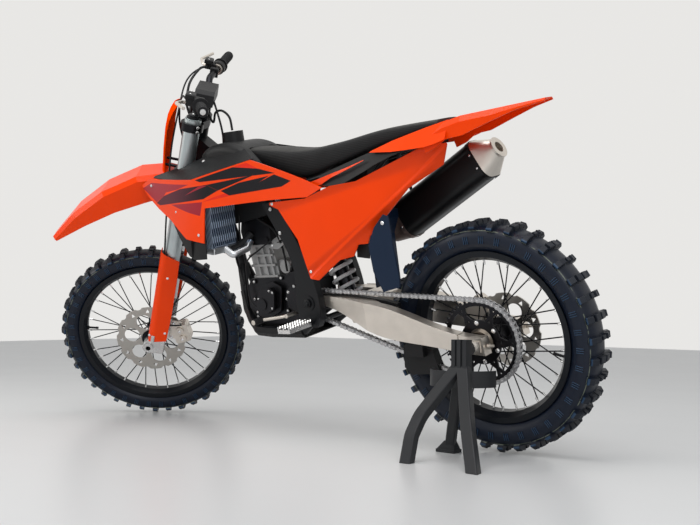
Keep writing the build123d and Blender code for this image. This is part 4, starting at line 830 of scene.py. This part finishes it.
SHROUD_PLAN = [(1250, 202), (1060, 238), (900, 246), (760, 205), (620, 166), (450, 152)]
PANEL_PLAN = [(710, 160), (560, 168), (400, 150), (240, 118), (20, 92)]
SHROUD_FOOT, SHROUD_LEAN = 670, 0.12
PANEL_FOOT, PANEL_LEAN = 528, 0.1


def on_sheet(plan, foot, lean, x, z, s=1):
    """Point just outside a leaning body panel at a place (x, z) of one side."""
    for (x0, y0), (x1, y1) in zip(plan, plan[1:]):
        if min(x0, x1) <= x <= max(x0, x1):
            y = y0 + (y1 - y0) * (x - x0) / (x1 - x0)
            return (x, s * (y - lean * (z - foot) + 1.0), z)
    raise ValueError("the place is past the panel's ends")


PANEL_BOLTS = [
    ("screw", on_sheet(SHROUD_PLAN, SHROUD_FOOT, SHROUD_LEAN, x, z, s), (0, s, 0), 5.0)
    for s in SIDES for x, z in ((1150, 895), (1010, 800), (905, 720))
] + [
    ("screw", on_sheet(PANEL_PLAN, PANEL_FOOT, PANEL_LEAN, x, z), LEFT, 5.0)
    for x, z in ((520, 574), (660, 790))
]
fasteners("panel_bolts", BIKE, "chassis", "bright_steel", PANEL_BOLTS)


# ------------------------------ silencer and mud flap
def silencer_rivets():
    """Rivets round both ends of the silencer's sleeve."""
    back = Vector((-math.cos(SILENCER_TILT), 0, math.sin(SILENCER_TILT)))
    upward = Vector((math.sin(SILENCER_TILT), 0, math.cos(SILENCER_TILT)))
    rivets = []
    for along in (67, 401):
        centre = Vector(SILENCER_AT) + back * along
        for s in SIDES:
            for up in (22, -22):
                rivets.append(("screw", centre + upward * up + Vector((0, s * 52, 0)), (0, s, 0), 3.4))
            rivets.append(("screw", centre + upward * s * 64, upward * s, 3.4))
    return rivets


fasteners("silencer_rivets", BIKE, "chassis", "bright_steel", silencer_rivets())
fasteners("flap_bolts", BIKE, "chassis", "bright_steel",
          [("screw", (331, y, 712), (-1, 0, 0.1), 5.0) for y in (40, -40)])
FLAP_EAR = [
    (226, 722), (244, 728), (283, 691), (312, 639), (307, 561),
    (280, 499), (251, 506), (219, 513), (216, 543), (223, 634),
]
plate_piece("mud_flap_ear", "flap_plastic", FLAP_EAR, 123, 127)
fasteners("flap_ear_bolt", BIKE, "chassis", "bright_steel", facing("screw", 127, 6.0, [(247, 704)]))
PANEL_FOOT_BLOCK = [(369, 648), (326, 646), (330, 598), (375, 604)]
plate_piece("panel_foot", "black_plastic", PANEL_FOOT_BLOCK, 103, 108)


# ------------------------------ bodywork between seat, tank and panels
def side_strips(name, finish, rows, thick=2.5):
    """The same strip on both sides: (x, low, high, y at its foot, y at its top) stations."""
    form = Form(BIKE)
    for s in SIDES:
        rings = []
        for x, low, high, foot, top in rows:
            corners = ((foot, low), (foot + thick, low), (top + thick, high), (top, high))
            rings.append([(x, s * y, z) for y, z in corners])
        form.skin(rings)
    return form.done(name, "chassis", finish)


side_strips("tail_wedge", "black_plastic", [
    (485, 838, 860, 108, 92), (455, 826, 868, 108, 90), (400, 823, 882, 107, 88), (300, 858, 906, 104, 88),
    (271, 870, 911, 103, 88), (210, 889, 908, 100, 92), (165, 901, 905, 98, 96)])
side_strips("tail_covers", "orange_plastic", [
    (277, 909, 913, 104, 91), (201, 903, 934, 103, 84), (150, 903, 945, 101, 78), (93, 904, 957, 99, 70),
    (60, 908, 963, 97, 66), (20, 918, 970, 95, 62)])
side_strips("seat_stripes", "orange_plastic", [
    (300, 888, 890, 107, 106), (371, 866, 873, 110, 108), (430, 849, 861, 111, 109),
    (470, 832, 852, 112, 109), (520, 826, 842, 112, 109)], 1.5)

COVER_THICK = 3
COVER_EDGES = [     # points on the shroud's top edge and on the tank
    ((1146, 184, 922), (1146, 176, 926)), ((1060, 206, 909), (1089, 104, 944)),
    ((962, 214, 897), (997, 90, 962)), ((830, 191, 918), (910, 78, 974)), ((700, 152, 939), (800, 76, 974)),
]


def tank_side_covers():
    """Black covers between the shroud's top edge and the tank."""
    form = Form(BIKE)
    for s in SIDES:
        form.skin([
            [(x, s * y, z - drop) for (x, y, z), drop in ((a, COVER_THICK), (a, 0), (b, 0), (b, COVER_THICK))]
            for a, b in COVER_EDGES
        ])
    form.done("tank_side_covers", "chassis", "black_plastic")


tank_side_covers()
fasteners("tank_cover_bolts", BIKE, "chassis", "bright_steel",
          [("screw", (925, s * 150, 951), (0, s, 1), 5.0) for s in SIDES])


# ------------------------------ engine fittings
hose_piece("coolant_hoses", [
    ([(912, 150, 672), (900, 142, 655), (884, 112, 652), (866, 84, 668), (848, 60, 692)], 13, 18),
    ([(893, 60, 820), (880, 40, 800), (868, 20, 780), (860, 10, 752)], 11, 16),
    ([(700, 58, 560), (672, 72, 590), (660, 76, 640), (676, 60, 700), (700, 40, 740)], 5, 12),
])
turned_piece("hose_clips", BIKE, "chassis", "bright_steel",
             [((905, 146, 661), (-0.5, -0.25, -0.7), [(-9, 14.4), (9, 14.4)], 28)])
hose_piece("wiring", [
    ([(930, 40, 900), (900, 64, 850), (860, 74, 790), (800, 70, 740), (742, 66, 700), (720, 60, 640),
      (712, 62, 560)], 3.6, 12),
    ([(940, -30, 905), (910, 52, 840), (872, 80, 770), (880, 84, 700), (884, 76, 620),
      (884, 70, 548)], 3.2, 12),
    ([(846, 88, 440), (880, 84, 470), (886, 78, 530), (872, 80, 600), (800, 84, 640),
      (742, 80, 668)], 2.8, 12),
    ([(1010, -10, 640), (960, 40, 600), (930, 58, 560), (916, 66, 520)], 4.0, 12),
])
AIR_DUCT = [(958, 798), (745, 802), (729, 775), (748, 750), (863, 734), (907, 730), (952, 742)]
plate_piece("air_duct", "black_plastic", AIR_DUCT, 58, 84)
hose_piece("ignition_lead", [([(826, 0, 764), (826, 10, 790), (812, 30, 812), (780, 44, 820)], 6, 12)])
SHOCK_FOOT = Vector((487, 0, 392))
SHOCK_WAY = Vector((111, 0, 370)).normalized()
turned_piece("shock_reservoir", BIKE, "chassis", "fork_alloy", [
    (SHOCK_FOOT + Vector((0, 62, 0)) + SHOCK_WAY * 250, SHOCK_WAY,
     [(0, 16), (3, 22), (88, 22), (92, 16)], 28)])
turned_piece("spring_collar", BIKE, "chassis", "red_coat",
             [(SHOCK_FOOT + SHOCK_WAY * 296, SHOCK_WAY, [(0, 40), (9, 40)], 32)])
turned_piece("shift_lever_tip", BIKE, "chassis", "grip_rubber",
             [((778, 138, 417), LEFT, [(0, 9.4), (3, 10.4), (46, 10.4), (49, 8)], 18)])
adjusters = Form(BIKE)
for s in SIDES:
    adjusters.plate([(-30, 326), (34, 332), (34, 352), (-30, 358)], s * 130.2, s * 133)
    adjusters.turned((-42, s * 112, REAR_R), BACKWARD, [(0, 6), (8, 6), (8.5, 4), (20, 4)], 6)
adjusters.done("chain_adjusters", "chassis", "raw_alloy")
turned_piece("rear_axle_nut", BIKE, "chassis", "bright_steel",
             [((0, 142, REAR_R), LEFT, [(-1, 21), (2, 21), (2.2, 17), (5, 17)], 6)])


# ------------------------------ fork
LEG_X, LEG_Y = 22, 105
steering_bolts = []
for s in SIDES:
    steering_bolts += [("screw", (0, s * 139, z), (-0.6, s, 0), 5.2) for z in (671, 693, 852, 868)]
    steering_bolts += [("bolt", (x, s * 45, 928), UP, 4.4) for x in (-13, 13)]
    steering_bolts += [("screw", (x, s * 141, z), (0, s, 0), 4.6) for x, z in ((56, 60), (2, 78), (22, 300))]
    steering_bolts.append(("screw", (LEG_X, s * LEG_Y, 900), UP, 5.0))
fasteners("steering_bolts", FORK, "steering", "bright_steel", steering_bolts)
turned_piece("fork_caps", FORK, "steering", "frame_paint", [
    ((0, 0, 880), UP, [(0, 17), (7, 17), (8, 14)], 6),
    *(((LEG_X, s * LEG_Y, 888), UP, [(0, 23), (5, 23), (6, 17), (12, 17), (13, 14)], 28) for s in SIDES)])

PLATE_THICK = 3.5
PLATE_ROWS = [      # height, half width, x of the back face in the middle
    (648, 50, 106), (690, 72, 109), (750, 95, 113), (820, 100, 116),
    (858, 96, 114), (884, 78, 108), (902, 52, 100),
]


def front_plate():
    """Number plate, bent back at its edges."""
    form = Form(FORK)
    rings = []
    for z, half, x in PLATE_ROWS:
        front = [(x + PLATE_THICK - 14 * t * t, half * t, z) for t in (-1, -0.6, -0.2, 0.2, 0.6, 1)]
        rings.append(front + [(back_x - PLATE_THICK, y, z) for back_x, y, z in reversed(front)])
    form.skin(rings)
    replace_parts(form.done("front_plate", "steering", "plate_plastic"), "number_plate")


def fork_print(name, finish, bands):
    """Thin bands on the rear outer side of both legs: (low, high, radius) each."""
    form = Form(FORK)
    arc = [math.radians(d) for d in range(110, 176, 6)]
    for s in SIDES:
        for low, high, radius in bands:
            outline = [(LEG_X + math.cos(a) * r, s * (LEG_Y + math.sin(a) * r))
                       for r, turns in ((radius, arc), (radius - 0.5, arc[::-1])) for a in turns]
            form.skin([[(x, y, z) for x, y in outline] for z in (low, high)])
    form.done(name, "steering", finish)


front_plate()
fork_print("fork_stickers", "dark_print", [(470, 610, 28.8)])
fork_print("fork_sticker_bars", "pale_print", [(520, 548, 29.0), (556, 584, 29.0)])
turned_piece("fork_seals", FORK, "steering", "grip_rubber",
             [((LEG_X, s * LEG_Y, 333), UP, [(0, 27.5), (12, 27.5), (13, 25)], 32) for s in SIDES])


# ------------------------------ bars
BAR_FROM, BAR_TO = Vector((10, 160, 966)), Vector((-30, 405, 1003))
RIB = [(0, 16.6), (0.8, 17.6), (2.4, 17.6), (3.2, 16.6)]
BLOCK_AXES = ((1, 0, 0), LEFT, UP)


def bar_way(s):
    """Direction outward along the grip of one side."""
    way = (BAR_TO - BAR_FROM).normalized()
    return Vector((way.x, way.y * s, way.z))


def on_bar(back, s):
    """Point on the grip's line at a distance in from the bar's end."""
    return Vector((BAR_TO.x, BAR_TO.y * s, BAR_TO.z)) - bar_way(s) * back


def bar_controls():
    """Clamps, master cylinders, switches and the throttle housing."""
    form = Form(FORK)
    for s in SIDES:
        for back, radius, long in ((156, 17, 10), (140, 15.5, 14)):
            profile = [(0, 12.6), (1, radius), (long - 1, radius), (long, 12.6)]
            form.turned(on_bar(back, s), bar_way(s), profile, 24)
        at = on_bar(150, s)
        form.block(at + Vector((26, 0, 6)), BLOCK_AXES, (38, 30, 24), 3)
        form.block(at + Vector((34, s * -6, 24)), BLOCK_AXES, (30, 44, 16), 3)
        form.block(on_bar(196, s) + Vector((0, 0, 2)), BLOCK_AXES, (30, 14, 34), 3)
    form.turned(on_bar(128, -1), -bar_way(-1), [(0, 24), (22, 24), (24, 20)], 28)
    form.done("bar_controls", "steering", "black_plastic")


bar_controls()
turned_piece("grip_ribs", FORK, "steering", "grip_rubber",
             [(on_bar(104 - 5.4 * k, s), bar_way(s), RIB, 20) for s in SIDES for k in range(18)])
turned_piece("bar_end_caps", FORK, "steering", "pale_print",
             [(on_bar(0, s), bar_way(s), [(-1, 9), (1.5, 9), (2, 7)], 20) for s in SIDES])
fasteners("control_screws", FORK, "steering", "bright_steel", [
    ("screw", on_bar(150, s) + Vector((34, s * (y - 6), 32.4)), UP, 2.6) for s in SIDES for y in (16, -16)])
turned_piece("stop_button", FORK, "steering", "red_coat", [
    (on_bar(196, 1) + Vector((-14, 0, 6)), BACKWARD, [(0, 8), (4, 8), (5, 6)], 20)])


# ------------------------------ hoses between chassis and steering
STEERING_HOSES = [      # name, points on the fork, points on the bike, radius
    ("tank_breather", [(0, 0, 884), (-2, 2, 905)],
     [(1000, 8, 1078), (982, 6, 1108), (952, 3, 1110), (926, 0, 1084), (922, 0, 1040)], 4.0),
    ("bar_cable", [(2, 62, 972), (-20, 46, 962)], [(950, 26, 1090), (946, 24, 1030), (954, 24, 980)], 3.6),
    ("clutch_line", [(40, 240, 986), (62, 170, 972), (74, 80, 900), (50, 40, 790)],
     [(1010, 70, 800), (960, 74, 740)], 3.4),
    ("throttle_cables", [(30, -236, 986), (52, -170, 986), (70, -70, 940), (40, -20, 850)],
     [(1000, -40, 880), (930, -36, 840)], 4.4),
]
for name, fork_points, bike_points, radius in STEERING_HOSES:
    form = Form(BIKE)
    on_bike = [BIKE.inverted() @ (FORK @ Vector(p)) for p in fork_points] + [Vector(p) for p in bike_points]
    form.tube(on_bike, radius, 12, 14)
    hose = form.done(name, None, "grip_rubber")
    start, end = BIKE @ Vector(bike_points[-1]), FORK @ Vector(fork_points[0])
    tuple(start)
    tuple(end)
    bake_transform(hose)


# ------------------------------ calipers
CALIPER_PINS = [("screw", (54 + 123 * math.cos(a), 99, 123 * math.sin(a)), LEFT, 5.5)
                for a in (math.radians(144), math.radians(160))]
fasteners("front_caliper_bolts", FORK, "steering", "bright_steel",
          CALIPER_PINS + facing("bolt", 92, 4.5, [(-20, 40), (-20, 98)]))
fasteners("rear_caliper_bolts", BIKE, "chassis", "bright_steel",
          [("bolt", (104 * math.cos(a), -93.6, REAR_R + 104 * math.sin(a)), RIGHT, 4.5)
           for a in (math.radians(26), math.radians(50))])


# ------------------------------ studio
SEEN_AIR, LIT_AIR = 0.87, 0.42       # strength of the air where it is seen and where it only lights
LAMPS = [      # name, place, aim, width, watts, tint
    ("softbox_top", (-0.5, 1.0, 3.2), (0, 0, 0.5), 2.6, 62, (1, 1, 1)),
    ("softbox_left", (-3.0, 2.4, 1.9), (0, 0, 0.5), 1.6, 34, (0.93, 0.96, 1)),
    ("softbox_front", (2.4, 2.2, 1.7), (0.3, 0, 0.6), 1.4, 26, (1, 0.98, 0.94)),
]
CAMERA_AT, CAMERA_WAY = (-2.1602, 2.2989, 0.4138), (0.6323, -0.7734, 0.0470)
LENS_MM, ROLL = 49.84, math.radians(0.5)


def studio_floor():
    bpy.ops.mesh.primitive_plane_add(size=16, location=(0, 0, -0.0005))
    floor = bpy.context.object
    floor.name = "studio_floor"
    paint = Paint("studio_floor", (0.66, 0.66, 0.65), 0.35)
    paint.set("Roughness", paint.noise(3.0) * 0.1 + 0.3)
    floor.data.materials.append(paint.material)


def studio_light():
    """White air behind everything, and three soft lamps."""
    world = bpy.data.worlds.new("studio_air")
    world.use_nodes = True
    tree = world.node_tree
    back = tree.nodes["Background"]
    rays = [make(tree, "ShaderNodeLightPath", out=f"Is {kind} Ray")
            for kind in ("Camera", "Glossy", "Transmission")]
    shown = sum(rays[1:], rays[0]).of("MINIMUM", 1.0)
    plug(tree, back.inputs[0], mix(tree, shown, (0.9, 0.94, 1.0), (0.93, 0.92, 0.9)))
    plug(tree, back.inputs[1], shown * (SEEN_AIR - LIT_AIR) + LIT_AIR)
    bpy.context.scene.world = world
    for name, where, aim, wide, power, tint in LAMPS:
        lamp = bpy.data.lights.new(name, "AREA")
        lamp.shape = "SQUARE"
        lamp.size = wide
        lamp.energy = power
        lamp.color = tint
        thing = bpy.data.objects.new(name, lamp)
        thing.location = where
        thing.rotation_euler = (Vector(aim) - Vector(where)).to_track_quat("-Z", "Y").to_euler()
        bpy.context.collection.objects.link(thing)


def camera():
    """Low view from behind the bike's left side."""
    lens = bpy.data.cameras.new("camera")
    lens.sensor_width = 36
    lens.lens = LENS_MM
    thing = bpy.data.objects.new("camera", lens)
    ahead = Vector(CAMERA_WAY).normalized()
    roll = Matrix.Rotation(ROLL, 3, "Z").to_quaternion()
    thing.rotation_euler = (ahead.to_track_quat("-Z", "Y") @ roll).to_euler()
    thing.location = CAMERA_AT
    bpy.context.collection.objects.link(thing)
    bpy.context.scene.camera = thing


studio_floor()
studio_light()
camera()
bpy.context.scene.view_settings.view_transform = "Standard"
